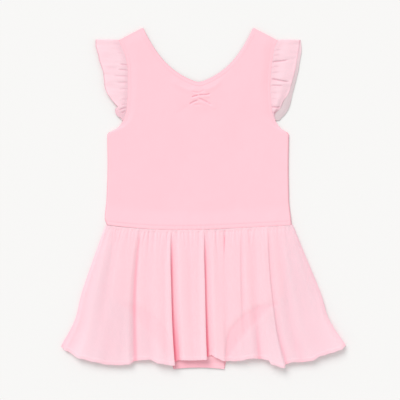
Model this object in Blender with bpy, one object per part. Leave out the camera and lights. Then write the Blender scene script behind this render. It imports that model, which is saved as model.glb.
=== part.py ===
"""A small child's skirted leotard, laid flat on a table with its front upwards.

Metres, +Z up, +Y towards the neck. The cloth lies on the plane z = 0 in layers: the back panels,
the brief inside the skirt, then the front panels and the front halves of the flutter sleeves.
Each piece that is cut and sewn is one closed wall of cloth, and sewn edges keep SEAM_GAP apart.
Outlines are measured from the centre line and from the middle of the waist seam. The last step
moves the whole garment so that the origin is below the middle of its outline.
"""

import math
from collections import namedtuple

import bmesh
import bpy
from mathutils import Vector

MM = 0.001

# Cloth and seams
JERSEY = 0.0010
CHIFFON = 0.0010
SEAM_GAP = 0.0003
SEAM_ALLOWANCE = 0.0008
ALLOWANCE_WIDTH = 0.004
# The wall below a steep face is measured straight down, to this share of its slope at most.
STEEPEST = 0.42
SHARP_DEGREES = 60

# Bodice outline
WAIST_HALF = 0.1310
WAIST_RISE = 0.0065
WAIST_CURVE = 2.0
WAIST_LEAN = 0.0011
SHOULDER_HALF = 0.1112
SHOULDER_Y = 0.2642
NECK_HALF = 0.0770
NECK_END_Y = 0.2820
FRONT_NECK_Y = 0.2062
FRONT_NECK_SLOPE = 0.44
NECK_POINT_ROUND = 0.0060
NECK_SHIFT = 0.0008
BACK_NECK_Y = 0.1730
BACK_NECK_POWER = 2.4
NECK_SHARE = NECK_HALF / SHOULDER_HALF

# Heights of the layers above the table
BACK_WAVE = 0.0004
BRIEF_BACK_Z = 0.0017
BRIEF_FRONT_Z = 0.0030
SKIRT_SEAM_Z = 0.0043
FRONT_EDGE_Z = 0.0013
FRONT_LIFT = 0.0012
FRONT_WAIST_LIFT = 0.0010
LIFT_AT_TOP = 0.35
EDGE_ROLL = 0.014
WAIST_ROLL = 0.030

# Brief outline
CROTCH_HALF = 0.0365
CROTCH_Y = -0.1930
CROTCH_DIP = 0.0022
CROTCH_DROP_Y = -0.1780
CROTCH_DROP = 0.0017
CROTCH_DROP_RUN = 0.010
CROTCH_DROP_ROWS = (-0.178, -0.183, -0.188)

# Skirt
GATHERS_FRONT = 33
GATHERS_BACK = 16
GATHER_DEPTH = 0.0011
GATHER_FADE = 0.16
GATHER_START = 0.03
# How unevenly the gathers follow each other: waves of shift along the seam.
GATHER_DRIFT = ((23.0, 0.008), (61.0, 0.004))
PUFF_FADE = 0.11
COLUMN_PITCH = 0.0021
HEM_EXTRA = 0.0003
HEM_START = 0.97
EDGE_COLUMNS = 3
SIDE_DRAW_IN = 0.0046
SIDE_DRAW_AT = 0.77
SIDE_DRAW_RUN = 0.14
SIDE_FLARE = 0.0024
SIDE_FLARE_RUN = 0.12
SIDE_POWER = 5
BACK_HEM_Y = -0.1735
BACK_HEM_SIDE_Y = -0.1630
BACK_EDGE_RUN = 0.06

# Flutter sleeves
FLUTTER_END_Y = 0.1525
FLUTTER_SEAM_Z = 0.0028
FLUTTER_BACK_Z = 0.0005
FLUTTER_GATHERS = 14
FLUTTER_GATHER_DEPTH = 0.0007
FLUTTER_DRIFT = (19.0, 0.01)
# How far the front half lifts at its outer edge: at the shoulder, then lower down.
FLUTTER_LIFT_TOP = 0.0018
FLUTTER_LIFT_LOW = 0.0032
FLUTTER_LIFT_RUN = 0.7
FLUTTER_LAY_RUN = 0.2
FLUTTER_END_RUN = 0.05
FLUTTER_CUP = 1.2
FLUTTER_STATIONS = 52
FLUTTER_FOLD_STEPS = 5
FLUTTER_BACK_STATIONS = 20
FLUTTER_LINES = (0.0, 0.25, 0.5, 0.75, 1.0)

# How far each edge of a panel is from the centre line at each height.
Reach = namedtuple("Reach", "y left right")
# The bodice's side seams, then the armholes up to the shoulders.
BODICE_SIDES = [
    Reach(0.0065, 0.1275, 0.1310),
    Reach(0.0150, 0.1305, 0.1302),
    Reach(0.0420, 0.1281, 0.1273),
    Reach(0.0900, 0.1266, 0.1266),
    Reach(0.1338, 0.1270, 0.1272),
    Reach(0.1375, 0.1202, 0.1210),
    Reach(0.1420, 0.1122, 0.1145),
    Reach(0.1500, 0.1060, 0.1090),
    Reach(0.1580, 0.1022, 0.1045),
    Reach(0.1720, 0.0994, 0.1024),
    Reach(0.1950, 0.0981, 0.1007),
    Reach(0.2230, 0.0982, 0.1022),
    Reach(0.2400, 0.1010, 0.1042),
    Reach(0.2530, 0.1057, 0.1066),
    Reach(0.2642, 0.1112, 0.1112),
]

# Heights up the side seam and the armhole where both bodice panels have a row.
SIDE_ROWS = (
    0.0065, 0.0110, 0.0150, 0.0420, 0.0900, 0.1338, 0.1375, 0.1420, 0.1460, 0.1500, 0.1540, 0.1580,
    0.1650, 0.1720, 0.1830, 0.1950, 0.2090, 0.2192, 0.2292, 0.2356, 0.2430, 0.2530, 0.2642,
)
# Columns out from the centre line, as shares of the way to the side. The pinch needs the close ones.
FRONT_COLUMNS = (0.015, 0.05, 0.09, 0.13, 0.18, 0.26, 0.36, 0.47, 0.58, NECK_SHARE, 0.84, 0.93, 0.97, 1.0)
BACK_COLUMNS = (0.0, 0.17, 0.34, 0.48, 0.6, NECK_SHARE, 0.85, 1.0)
# More rows of the front, for the pinch.
PINCH_ROWS = (0.0240, 0.2260, 0.2324, 0.2388, 0.2460, 0.2495, 0.2575, 0.2605)

# The brief's side seams, then the leg openings down to the crotch.
BRIEF_FRONT_SIDES = [
    Reach(0.0065, 0.1210, 0.1210),
    Reach(-0.0940, 0.1190, 0.1195),
    Reach(-0.1010, 0.0950, 0.0950),
    Reach(-0.1110, 0.0720, 0.0720),
    Reach(-0.1240, 0.0550, 0.0550),
    Reach(-0.1390, 0.0430, 0.0430),
    Reach(-0.1560, 0.0360, 0.0375),
    Reach(-0.1750, 0.0338, 0.0362),
    Reach(-0.1952, 0.0340, 0.0365),
]
BRIEF_BACK_SIDES = [
    Reach(0.0065, 0.1210, 0.1210),
    Reach(-0.0940, 0.1190, 0.1195),
    Reach(-0.1080, 0.1010, 0.1010),
    Reach(-0.1250, 0.0830, 0.0830),
    Reach(-0.1450, 0.0660, 0.0660),
    Reach(-0.1640, 0.0510, 0.0510),
    Reach(-0.1800, 0.0400, 0.0410),
    Reach(-0.1952, 0.0340, 0.0365),
]

# The outer edges of the flutter sleeves' front halves, then of their back halves.
FLUTTER_EDGES = [
    Reach(0.1500, 0.1072, 0.1104),
    Reach(0.1546, 0.1074, 0.1078),
    Reach(0.1588, 0.1128, 0.1068),
    Reach(0.1630, 0.1153, 0.1084),
    Reach(0.1672, 0.1158, 0.1130),
    Reach(0.1714, 0.1124, 0.1158),
    Reach(0.1756, 0.1160, 0.1172),
    Reach(0.1810, 0.1208, 0.1200),
    Reach(0.1880, 0.1256, 0.1255),
    Reach(0.1970, 0.1299, 0.1290),
    Reach(0.2070, 0.1311, 0.1315),
    Reach(0.2190, 0.1325, 0.1350),
    Reach(0.2340, 0.1375, 0.1380),
    Reach(0.2500, 0.1412, 0.1405),
    Reach(0.2560, 0.1432, 0.1415),
    Reach(0.2642, 0.1430, 0.1420),
]
FLUTTER_BACK_EDGES = [
    Reach(0.1500, 0.1070, 0.1112),
    Reach(0.1546, 0.1070, 0.1150),
    Reach(0.1588, 0.1110, 0.1192),
    Reach(0.1630, 0.1130, 0.1228),
    Reach(0.1686, 0.1118, 0.1262),
    Reach(0.1742, 0.1140, 0.1284),
    Reach(0.1868, 0.1232, 0.1312),
    Reach(0.1952, 0.1280, 0.1333),
    Reach(0.2232, 0.1320, 0.1402),
    Reach(0.2372, 0.1376, 0.1424),
    Reach(0.2512, 0.1405, 0.1446),
    Reach(0.2642, 0.1430, 0.1434),
]

# Lines down the skirt front from left to right, in millimetres: where each crest or trough leaves
# the waist seam, where it is halfway down and at the hem, how low the hem hangs there, and the
# height of the cloth's upper face halfway down and at the hem.
Fold = namedtuple("Fold", "waist_x middle_x hem_x hem_y middle_z hem_z")
SKIRT_FOLDS = [
    Fold(-129.0, -159.5, -189.5, -164.0, 2.8, 2.8),
    Fold(-126.0, -154.5, -182.5, -169.5, 5.0, 4.6),
    Fold(-120.5, -141.0, -162.0, -179.5, 7.6, 9.4),
    Fold(-113.0, -129.5, -143.5, -184.0, 7.0, 9.2),
    Fold(-103.0, -118.0, -125.0, -188.0, 8.2, 7.4),
    Fold(-92.0, -104.5, -108.5, -188.7, 7.6, 7.2),
    Fold(-85.5, -96.5, -97.0, -187.9, 7.6, 8.2),
    Fold(-79.8, -88.2, -87.5, -182.9, 6.0, 6.0),
    Fold(-75.0, -81.0, -77.5, -181.7, 7.3, 7.6),
    Fold(-68.0, -72.0, -68.0, -181.0, 6.6, 7.0),
    Fold(-56.5, -58.0, -54.0, -186.0, 9.0, 10.2),
    Fold(-45.5, -47.0, -42.5, -188.0, 8.4, 9.8),
    Fold(-38.5, -40.2, -35.5, -188.8, 9.8, 11.6),
    Fold(-35.8, -36.6, -32.0, -184.6, 5.5, 5.6),
    Fold(-33.0, -32.5, -27.5, -182.0, 6.0, 6.2),
    Fold(-27.0, -23.5, -18.5, -181.6, 8.9, 9.4),
    Fold(-13.5, -10.5, -6.5, -182.0, 8.0, 8.8),
    Fold(0.5, 0.0, 2.0, -181.4, 8.6, 9.6),
    Fold(7.5, 7.2, 9.8, -180.8, 9.6, 11.2),
    Fold(10.2, 10.8, 13.4, -177.4, 5.5, 5.6),
    Fold(13.5, 14.8, 17.8, -175.0, 6.0, 6.2),
    Fold(19.0, 22.0, 26.0, -178.5, 8.3, 8.7),
    Fold(29.0, 31.0, 34.5, -182.7, 7.4, 8.4),
    Fold(38.0, 38.0, 43.0, -183.2, 7.3, 7.0),
    Fold(48.5, 50.0, 54.0, -183.0, 8.2, 7.6),
    Fold(57.5, 58.2, 62.5, -181.8, 8.2, 9.0),
    Fold(61.0, 61.8, 68.0, -180.3, 6.9, 9.4),
    Fold(66.5, 68.6, 75.0, -179.3, 8.2, 9.2),
    Fold(76.5, 79.0, 85.0, -179.6, 7.2, 7.4),
    Fold(86.5, 91.0, 97.0, -181.5, 9.0, 10.2),
    Fold(89.5, 94.0, 102.0, -187.5, 9.2, 10.8),
    Fold(96.0, 101.5, 119.0, -192.4, 9.0, 10.8),
    Fold(99.0, 104.9, 122.4, -187.0, 7.0, 7.4),
    Fold(104.5, 112.5, 131.0, -184.5, 7.9, 8.4),
    Fold(111.5, 123.5, 143.5, -184.6, 6.6, 7.0),
    Fold(117.0, 133.5, 157.0, -182.5, 7.8, 8.6),
    Fold(122.5, 143.5, 170.5, -175.5, 6.9, 8.6),
    Fold(126.0, 153.0, 184.0, -171.5, 6.6, 9.0),
    Fold(129.5, 162.0, 197.0, -167.0, 5.0, 7.0),
    Fold(132.5, 167.5, 204.5, -161.5, 2.8, 3.6),
]
SKIRT_ROWS = (0.0, 0.02, 0.05, 0.09, 0.15, 0.23, 0.34, 0.50, 0.68, 0.84, 0.965, HEM_START, 1.0)
BACK_ROWS = (0.0, 0.05, 0.20, 0.50, 0.76, 0.90, 1.0)

# Troughs of the pinch below the front neckline: height at the centre line, how far each half of
# the trough falls away at its end, how far it reaches each way, and its depth.
Pinch = namedtuple("Pinch", "y left_fall right_fall left_reach right_reach depth")
PINCH_FOLDS = [
    Pinch(0.2000, -0.0010, -0.0010, 0.010, 0.010, 0.0003),
    Pinch(0.1945, -0.0020, -0.0030, 0.010, 0.009, 0.0005),
    Pinch(0.1890, 0.0040, -0.0022, 0.012, 0.020, 0.0010),
    Pinch(0.1835, 0.0070, 0.0090, 0.017, 0.025, 0.0010),
    Pinch(0.1755, 0.0040, 0.0050, 0.010, 0.014, 0.0005),
]
PINCH_HALF_WIDTH = 0.0017
# The low swelling that they run into, which is wider than it is high.
PINCH_SWELL = 0.0010
PINCH_SWELL_Y = 0.187
PINCH_SWELL_RADIUS = 0.020
PINCH_SWELL_SHAPE = 0.7
FOLDS_UNDERNEATH = 0.6

# Wide folds across each flutter sleeve: height at the seam and at the outer edge, and depth.
Crease = namedtuple("Crease", "seam_y edge_y depth")
LEFT_CREASES = [Crease(0.229, 0.226, 0.0014), Crease(0.171, 0.169, 0.0022)]
RIGHT_CREASES = [
    Crease(0.236, 0.239, 0.0015),
    Crease(0.207, 0.204, 0.0016),
    Crease(0.172, 0.171, 0.0020),
]
CREASE_HALF_WIDTH = 0.0035
CREASE_AT_SEAM = 0.3
GATHER_LOST_AT_EDGE = 0.35

Finish = namedtuple("Finish", "name colour roughness")
JERSEY_PINK = Finish("pink_jersey", (0.93, 0.58, 0.66, 1.0), 0.80)
CHIFFON_PINK = Finish("pink_chiffon", (0.95, 0.66, 0.73, 1.0), 0.65)


def smooth(t):
    """0 below 0, 1 above 1, with no corner between."""
    t = min(max(t, 0.0), 1.0)
    return t * t * (3.0 - 2.0 * t)


def blend(a, b, t):
    return a + (b - a) * t


def hump(distance, half_width):
    return math.exp(-((distance / half_width) ** 2))


def through(knots, at):
    """Monotone cubic curve through (position, value) pairs, read at one position."""
    knots = sorted(knots)
    slopes = [(b[1] - a[1]) / (b[0] - a[0]) for a, b in zip(knots, knots[1:])]
    tangents = [slopes[0]]
    for before, after in zip(slopes, slopes[1:]):
        level = before * after <= 0.0
        tangents.append(0.0 if level else 2.0 * before * after / (before + after))
    tangents.append(slopes[-1])
    at = min(max(at, knots[0][0]), knots[-1][0])
    i = max(n for n in range(len(slopes)) if knots[n][0] <= at)
    step = knots[i + 1][0] - knots[i][0]
    t = (at - knots[i][0]) / step
    return (
        (1 + 2 * t) * (1 - t) ** 2 * knots[i][1]
        + t * (1 - t) ** 2 * step * tangents[i]
        + t * t * (3 - 2 * t) * knots[i + 1][1]
        + t * t * (t - 1) * step * tangents[i + 1]
    )


def waist_y(x):
    """The waist seam, which rises towards the sides and leans a little."""
    across = x / WAIST_HALF
    return WAIST_RISE * abs(across) ** WAIST_CURVE + WAIST_LEAN * math.sin(math.pi * across)


def shoulder_y(x):
    along = (SHOULDER_HALF - abs(x)) / (SHOULDER_HALF - NECK_HALF)
    return blend(SHOULDER_Y, NECK_END_Y, along)


def front_top_y(x):
    """The top edge of the bodice front: the neckline, which the pinch draws to a soft V, then the shoulder."""
    if abs(x) > NECK_HALF:
        return shoulder_y(x)
    aside = x - NECK_SHIFT * (1.0 - (x / NECK_HALF) ** 2)
    straight = FRONT_NECK_SLOPE * (math.hypot(aside, NECK_POINT_ROUND) - NECK_POINT_ROUND)
    at_end = FRONT_NECK_SLOPE * (math.hypot(NECK_HALF, NECK_POINT_ROUND) - NECK_POINT_ROUND)
    curl = (NECK_END_Y - FRONT_NECK_Y - at_end) * (abs(aside) / NECK_HALF) ** 3
    return FRONT_NECK_Y + straight + curl


def back_top_y(x):
    """The top edge of the bodice back: a round scoop below the front's, then the shoulder."""
    if abs(x) > NECK_HALF:
        return shoulder_y(x)
    return BACK_NECK_Y + (NECK_END_Y - BACK_NECK_Y) * (abs(x) / NECK_HALF) ** BACK_NECK_POWER


def crotch_y(x):
    return CROTCH_Y - CROTCH_DIP * (x / CROTCH_HALF) ** 2


def reach_at(sides, y, q):
    """How far from the centre line a panel's edge is at a height, on the side that q is on."""
    return through([(knot.y, knot.right if q > 0 else knot.left) for knot in sides], y)


def panel_grid(sides, first_edge, last_edge, across, down):
    """Points of a panel between two cross edges. The sides table gives its reach at each height."""
    first_half, last_half = sides[0].right, sides[-1].right
    start, end = first_edge(first_half), last_edge(last_half)
    rows = []
    for t in down:
        y = blend(start, end, t)
        reaches = {q > 0: reach_at(sides, y, q) for q in (-1, 1)}
        rows.append([
            (q * reaches[q > 0], blend(first_edge(q * first_half), last_edge(q * last_half), t))
            for q in across
        ])
    return rows


def spread(count):
    """Places from -1 to 1."""
    return [2.0 * i / (count - 1) - 1.0 for i in range(count)]


def ring(grid):
    """The points round the edge of a grid."""
    right = [row[-1] for row in grid[1:-1]]
    left = [row[0] for row in grid[1:-1]]
    return grid[0] + right + grid[-1][::-1] + left[::-1]


def cloth_wall(name, upper, lower, finish):
    """One closed wall between an upper and a lower grid of points, joined round the edge."""
    shape = bmesh.new()
    grids = [[[shape.verts.new(point) for point in row] for row in grid] for grid in (upper, lower)]
    for grid in grids:
        for row, following in zip(grid, grid[1:]):
            for i in range(len(row) - 1):
                shape.faces.new((row[i], row[i + 1], following[i + 1], following[i]))
    above, below = ring(grids[0]), ring(grids[1])
    for i in range(len(above)):
        j = (i + 1) % len(above)
        shape.faces.new((above[i], above[j], below[j], below[i]))
    bmesh.ops.recalc_face_normals(shape, faces=shape.faces)
    mesh = bpy.data.meshes.new(name)
    shape.to_mesh(mesh)
    shape.free()
    mesh.shade_smooth()
    mesh.set_sharp_from_angle(angle=math.radians(SHARP_DEGREES))
    mesh.materials.append(material_of(finish))
    cloth = bpy.data.objects.new(name, mesh)
    bpy.context.scene.collection.objects.link(cloth)
    return cloth


def material_of(finish):
    found = bpy.data.materials.get(finish.name)
    if found:
        return found
    made = bpy.data.materials.new(finish.name)
    made.use_nodes = True
    shader = made.node_tree.nodes["Principled BSDF"]
    shader.inputs["Base Color"].default_value = finish.colour
    shader.inputs["Roughness"].default_value = finish.roughness
    shader.inputs["Metallic"].default_value = 0.0
    return made


def normals_of(grid):
    """The upward or outward normal at each point of a grid."""
    last_row, last_column = len(grid) - 1, len(grid[0]) - 1
    found = []
    for r, row in enumerate(grid):
        line = []
        for c in range(len(row)):
            across = grid[r][min(c + 1, last_column)] - grid[r][max(c - 1, 0)]
            down = grid[min(r + 1, last_row)][c] - grid[max(r - 1, 0)][c]
            line.append(across.cross(down).normalized())
        found.append(line)
    return found


def beneath(upper, thickness):
    """The lower face of cloth that has this thickness square to its upper face, straight below each point."""
    lower = []
    for row, normals in zip(upper, normals_of(upper)):
        lower.append([
            point - Vector((0.0, 0.0, thickness / max(abs(normal.z), STEEPEST)))
            for point, normal in zip(row, normals)
        ])
    return lower


def pinch_height(x, y):
    """Troughs that run in to the pinch, on a low swelling."""
    from_middle = math.hypot(PINCH_SWELL_SHAPE * x, y - PINCH_SWELL_Y)
    height = PINCH_SWELL * hump(from_middle, PINCH_SWELL_RADIUS)
    for fold in PINCH_FOLDS:
        reach, fall = (fold.right_reach, fold.right_fall) if x > 0 else (fold.left_reach, fold.left_fall)
        along = abs(x) / reach
        line = fold.y - fall * along
        height -= fold.depth * hump(y - line, PINCH_HALF_WIDTH) * (1.0 - smooth(along - 0.4))
    return height


def both_ways(shares):
    """Places from -1 to 1 that mirror these shares."""
    return sorted({sign * share for share in shares for sign in (-1.0, 1.0)})


def up_the_side(heights):
    """Shares of the way from the waist to the shoulder."""
    return sorted((y - WAIST_RISE) / (SHOULDER_Y - WAIST_RISE) for y in heights)


def make_bodice_front():
    across = both_ways(FRONT_COLUMNS)
    upper, lower = [], []
    rows = panel_grid(BODICE_SIDES, waist_y, front_top_y, across, up_the_side(SIDE_ROWS + PINCH_ROWS))
    for row in rows:
        upper_row, lower_row = [], []
        for q, (x, y) in zip(across, row):
            side = smooth(min(row[-1][0] - x, x - row[0][0]) / EDGE_ROLL)
            top_line = front_top_y(q * SHOULDER_HALF)
            top = smooth((top_line - y) / EDGE_ROLL)
            from_waist = y - waist_y(x)
            waist = (1.0 - smooth(from_waist / WAIST_ROLL)) * side
            lift = FRONT_LIFT * side * blend(LIFT_AT_TOP, 1.0, top) + FRONT_WAIST_LIFT * waist
            folds = pinch_height(x, y) * smooth((top_line - y) / ALLOWANCE_WIDTH)
            doubled = 1.0 - smooth((from_waist - ALLOWANCE_WIDTH) / ALLOWANCE_WIDTH)
            thick = JERSEY + SEAM_ALLOWANCE * doubled * side
            under = FRONT_EDGE_Z + lift + FOLDS_UNDERNEATH * max(folds, 0.0) + min(folds, 0.0)
            upper_row.append(Vector((x, y, FRONT_EDGE_Z + lift + thick + folds)))
            lower_row.append(Vector((x, y, under)))
        upper.append(upper_row)
        lower.append(lower_row)
    return cloth_wall("bodice_front", upper, lower, JERSEY_PINK)


def make_flat_panel(name, rows, bottom_z):
    """A jersey panel that lies level, with its underside at the height that bottom_z gives."""
    lower = [[Vector((x, y, bottom_z(x, y))) for x, y in row] for row in rows]
    upper = [[point + Vector((0.0, 0.0, JERSEY)) for point in row] for row in lower]
    return cloth_wall(name, upper, lower, JERSEY_PINK)


def make_bodice_back():
    across = both_ways(BACK_COLUMNS)
    rows = panel_grid(BODICE_SIDES, waist_y, back_top_y, across, up_the_side(SIDE_ROWS))
    return make_flat_panel("bodice_back", rows, lambda x, y: 0.0)


def below_seam(x):
    return waist_y(x) - SEAM_GAP


def make_brief(name, sides, layer_z):
    """One jersey panel of the brief. Past the skirt's back hem it comes down by CROTCH_DROP."""
    across = spread(9)
    heights = {knot.y for knot in BRIEF_FRONT_SIDES + BRIEF_BACK_SIDES} | set(CROTCH_DROP_ROWS)
    start, end = below_seam(sides[0].right), crotch_y(sides[-1].right)
    down = sorted((y - start) / (end - start) for y in heights if end < y < start)
    rows = panel_grid(sides, below_seam, crotch_y, across, [0.0, *down, 1.0])

    def bottom(x, y):
        return layer_z - CROTCH_DROP * smooth((CROTCH_DROP_Y - y) / CROTCH_DROP_RUN)

    return make_flat_panel(name, rows, bottom)


def down_the_skirt(at_waist, halfway, at_hem, v):
    """A curve through three values: at the waist seam, halfway down and at the hem."""
    return (
        at_waist * (1 - v) * (1 - 2 * v) + halfway * 4 * v * (1 - v) + at_hem * v * (2 * v - 1)
    )


def side_flare(waist_x, v):
    """The skirt's sides draw in a little low down, and its corners flare out."""
    drawn_in = SIDE_DRAW_IN * hump(v - SIDE_DRAW_AT, SIDE_DRAW_RUN)
    out = SIDE_FLARE * smooth((v - 1.0 + SIDE_FLARE_RUN) / SIDE_FLARE_RUN) - drawn_in
    return math.copysign(out * (abs(waist_x) / WAIST_HALF) ** SIDE_POWER, out * waist_x)


def skirt_columns():
    """Each column as two neighbouring folds and how far it is from the first to the second."""
    columns = []
    for left, right in zip(SKIRT_FOLDS, SKIRT_FOLDS[1:]):
        steps = max(2, round((right.waist_x - left.waist_x) * MM / COLUMN_PITCH))
        columns += [(left, right, i / steps) for i in range(steps)]
    return columns + [(SKIRT_FOLDS[-2], SKIRT_FOLDS[-1], 1.0)]


def gather(position, v, count):
    """Small gathers that the waist seam holds, from 0 to 1, unevenly spaced, dying away down the skirt."""
    shift = sum(reach * math.sin(rate * position) for rate, reach in GATHER_DRIFT)
    turns = count * (position + shift)
    start = smooth(v / GATHER_START)
    return start * math.exp(-v / GATHER_FADE) * (0.5 - 0.5 * math.cos(2 * math.pi * turns))


def make_skirt_front():
    columns = skirt_columns()
    upper = []
    for v in SKIRT_ROWS:
        puff = 1.0 - math.exp(-v / PUFF_FADE)
        row = []
        for n, (left, right, t) in enumerate(columns):
            ease = smooth(t)
            waist_x = blend(left.waist_x, right.waist_x, t) * MM
            x = blend(
                down_the_skirt(left.waist_x, left.middle_x, left.hem_x, v),
                down_the_skirt(right.waist_x, right.middle_x, right.hem_x, v),
                t,
            ) * MM + side_flare(waist_x, v)
            hem_y = blend(left.hem_y, right.hem_y, ease) * MM
            y = blend(below_seam(waist_x), hem_y, v)
            middle_z = blend(left.middle_z, right.middle_z, ease)
            hem_z = blend(left.hem_z, right.hem_z, ease)
            rest = blend(middle_z, hem_z, smooth(2 * v - 1)) * MM
            edge = smooth(min(n, len(columns) - 1 - n) / EDGE_COLUMNS)
            seam = blend(rest, SKIRT_SEAM_Z + CHIFFON, edge)
            wave = GATHER_DEPTH * gather(n / (len(columns) - 1), v, GATHERS_FRONT) * edge
            hem = HEM_EXTRA if v >= HEM_START else 0.0
            row.append(Vector((x, y, blend(seam, rest, puff) + wave + hem)))
        upper.append(row)
    return cloth_wall("skirt_front", upper, beneath(upper, CHIFFON), CHIFFON_PINK)


def make_skirt_back():
    """The panel under the rest. Its gathers hollow the underside between the lines it rests on."""
    left, right = SKIRT_FOLDS[0], SKIRT_FOLDS[-1]
    upper, lower = [], []
    for v in BACK_ROWS:
        first = down_the_skirt(left.waist_x, left.middle_x, left.hem_x, v) * MM
        last = down_the_skirt(right.waist_x, right.middle_x, right.hem_x, v) * MM
        upper_row, lower_row = [], []
        for q in spread(4 * GATHERS_BACK + 1):
            along = 0.5 * (q + 1.0)
            waist_x = blend(left.waist_x, right.waist_x, along) * MM
            x = blend(first, last, along) + side_flare(waist_x, v)
            hem_y = blend(BACK_HEM_Y, BACK_HEM_SIDE_Y, q * q)
            y = blend(below_seam(waist_x), hem_y, v)
            ends = smooth((1.0 - abs(q)) / BACK_EDGE_RUN)
            wave = BACK_WAVE * ends * (0.5 - 0.5 * math.cos(2 * math.pi * GATHERS_BACK * along))
            wave *= 1.0 - 0.5 * v
            lower_row.append(Vector((x, y, wave)))
            upper_row.append(Vector((x, y, wave + CHIFFON)))
        upper.append(upper_row)
        lower.append(lower_row)
    return cloth_wall("skirt_back", upper, lower, CHIFFON_PINK)


def flutter_height(y, b, creases):
    """Height of the middle of the cloth on the front half, b of the way from the seam to the edge."""
    down = (SHOULDER_Y - y) / (SHOULDER_Y - FLUTTER_END_Y)
    lift = blend(FLUTTER_LIFT_TOP, FLUTTER_LIFT_LOW, smooth(down / FLUTTER_LIFT_RUN))
    lift *= smooth((1.0 - down) / FLUTTER_LAY_RUN)
    rate, reach = FLUTTER_DRIFT
    wave = math.cos(2 * math.pi * FLUTTER_GATHERS * (down + reach * math.sin(rate * down)))
    ends = smooth(down / FLUTTER_END_RUN) * smooth((1.0 - down) / FLUTTER_END_RUN)
    height = FLUTTER_SEAM_Z + lift * b ** FLUTTER_CUP
    height += FLUTTER_GATHER_DEPTH * ends * wave * (1.0 - GATHER_LOST_AT_EDGE * b)
    for crease in creases:
        line = blend(crease.seam_y, crease.edge_y, b)
        height -= crease.depth * ends * blend(CREASE_AT_SEAM, 1.0, b) * hump(y - line, CREASE_HALF_WIDTH)
    return height


def armhole_seam_x(y, side):
    """Where the flutter's seamed edge runs, SEAM_GAP square out from the armhole."""
    step = 0.0005
    rise = reach_at(BODICE_SIDES, y + step, side) - reach_at(BODICE_SIDES, y - step, side)
    return reach_at(BODICE_SIDES, y, side) + SEAM_GAP * math.hypot(1.0, rise / (2 * step))


def flutter_row(side, y, edge_x, rise_and_height):
    """One line across a flutter sleeve from the armhole seam to its outer edge."""
    seam_x = armhole_seam_x(y, side)
    row = []
    for b in FLUTTER_LINES:
        rise, height = rise_and_height(b)
        row.append(Vector((side * blend(seam_x, edge_x, b), y + rise, height)))
    return row


def make_flutter(name, side, creases):
    """A gathered strip on one armhole: its front half, the fold over the shoulder, then its back half."""
    middle = []
    for i in range(FLUTTER_STATIONS):
        y = blend(FLUTTER_END_Y, SHOULDER_Y, i / (FLUTTER_STATIONS - 1))
        edge_x = reach_at(FLUTTER_EDGES, y, side)
        middle.append(flutter_row(side, y, edge_x, lambda b: (0.0, flutter_height(y, b, creases))))
    front_x = reach_at(FLUTTER_EDGES, SHOULDER_Y, side)
    back_x = reach_at(FLUTTER_BACK_EDGES, SHOULDER_Y, side)
    for i in range(1, FLUTTER_FOLD_STEPS):
        turn = math.pi * i / FLUTTER_FOLD_STEPS

        def folded(b):
            top = flutter_height(SHOULDER_Y, b, creases)
            radius = 0.5 * (top - FLUTTER_BACK_Z)
            return radius * math.sin(turn), FLUTTER_BACK_Z + radius * (1.0 + math.cos(turn))

        edge_x = blend(front_x, back_x, i / FLUTTER_FOLD_STEPS)
        middle.append(flutter_row(side, SHOULDER_Y, edge_x, folded))
    for i in range(FLUTTER_BACK_STATIONS):
        down = i / (FLUTTER_BACK_STATIONS - 1)
        y = blend(SHOULDER_Y, FLUTTER_END_Y, down)
        edge_x = reach_at(FLUTTER_BACK_EDGES, y, side)
        middle.append(flutter_row(side, y, edge_x, lambda b: (0.0, FLUTTER_BACK_Z)))
    halves = []
    for sign in (1.0, -1.0):
        halves.append([
            [point + normal * (0.5 * sign * CHIFFON) for point, normal in zip(row, normals)]
            for row, normals in zip(middle, normals_of(middle))
        ])
    return cloth_wall(name, halves[0], halves[1], CHIFFON_PINK)


def stand_on_origin(pieces):
    """Moves the garment so that the origin is below the middle of its outline, on the table."""
    points = [vertex.co for piece in pieces for vertex in piece.data.vertices]
    middle_x = 0.5 * (min(p.x for p in points) + max(p.x for p in points))
    middle_y = 0.5 * (min(p.y for p in points) + max(p.y for p in points))
    for piece in pieces:
        piece.location = (-middle_x, -middle_y, 0.0)


def main():
    for obj in list(bpy.data.objects):
        bpy.data.objects.remove(obj)
    pieces = [
        make_bodice_back(),
        make_skirt_back(),
        make_brief("brief_back", BRIEF_BACK_SIDES, BRIEF_BACK_Z),
        make_brief("brief_front", BRIEF_FRONT_SIDES, BRIEF_FRONT_Z),
        make_skirt_front(),
        make_bodice_front(),
        make_flutter("flutter_left", -1.0, LEFT_CREASES),
        make_flutter("flutter_right", 1.0, RIGHT_CREASES),
    ]
    stand_on_origin(pieces)


main()
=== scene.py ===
"""The finished look of a small child's skirted leotard, laid flat with its front upwards.

Each solid of the frame is replaced by thin cloth of the same outline, with its gathers, creases,
seams and hems. Lengths are metres and +Z is up. Outlines are measured from the centre line and
from the middle of the waist seam, and place() moves them to where the frame lies.
"""

import math
from collections import namedtuple

import bpy
import numpy as np
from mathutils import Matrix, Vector, noise
from mathutils.bvhtree import BVHTree


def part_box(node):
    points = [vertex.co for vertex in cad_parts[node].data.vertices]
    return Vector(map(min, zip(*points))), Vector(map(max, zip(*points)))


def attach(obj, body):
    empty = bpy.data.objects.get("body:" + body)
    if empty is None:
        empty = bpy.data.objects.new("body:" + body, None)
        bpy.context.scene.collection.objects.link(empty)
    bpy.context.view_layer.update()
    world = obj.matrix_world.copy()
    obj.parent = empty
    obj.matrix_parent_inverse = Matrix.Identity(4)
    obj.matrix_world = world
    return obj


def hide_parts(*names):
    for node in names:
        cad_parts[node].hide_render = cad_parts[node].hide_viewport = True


MM = 0.001
# A mesh attribute of painted shade: from 0 to 1, how far the cloth's colour is darkened towards its
# painted shade colour in folds, creases, along rims and by seams. Below 0, how far a sheer layer is
# painted grey as the shade of another layer over it.
FOLD_SHADE = "fold_shade"

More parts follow.
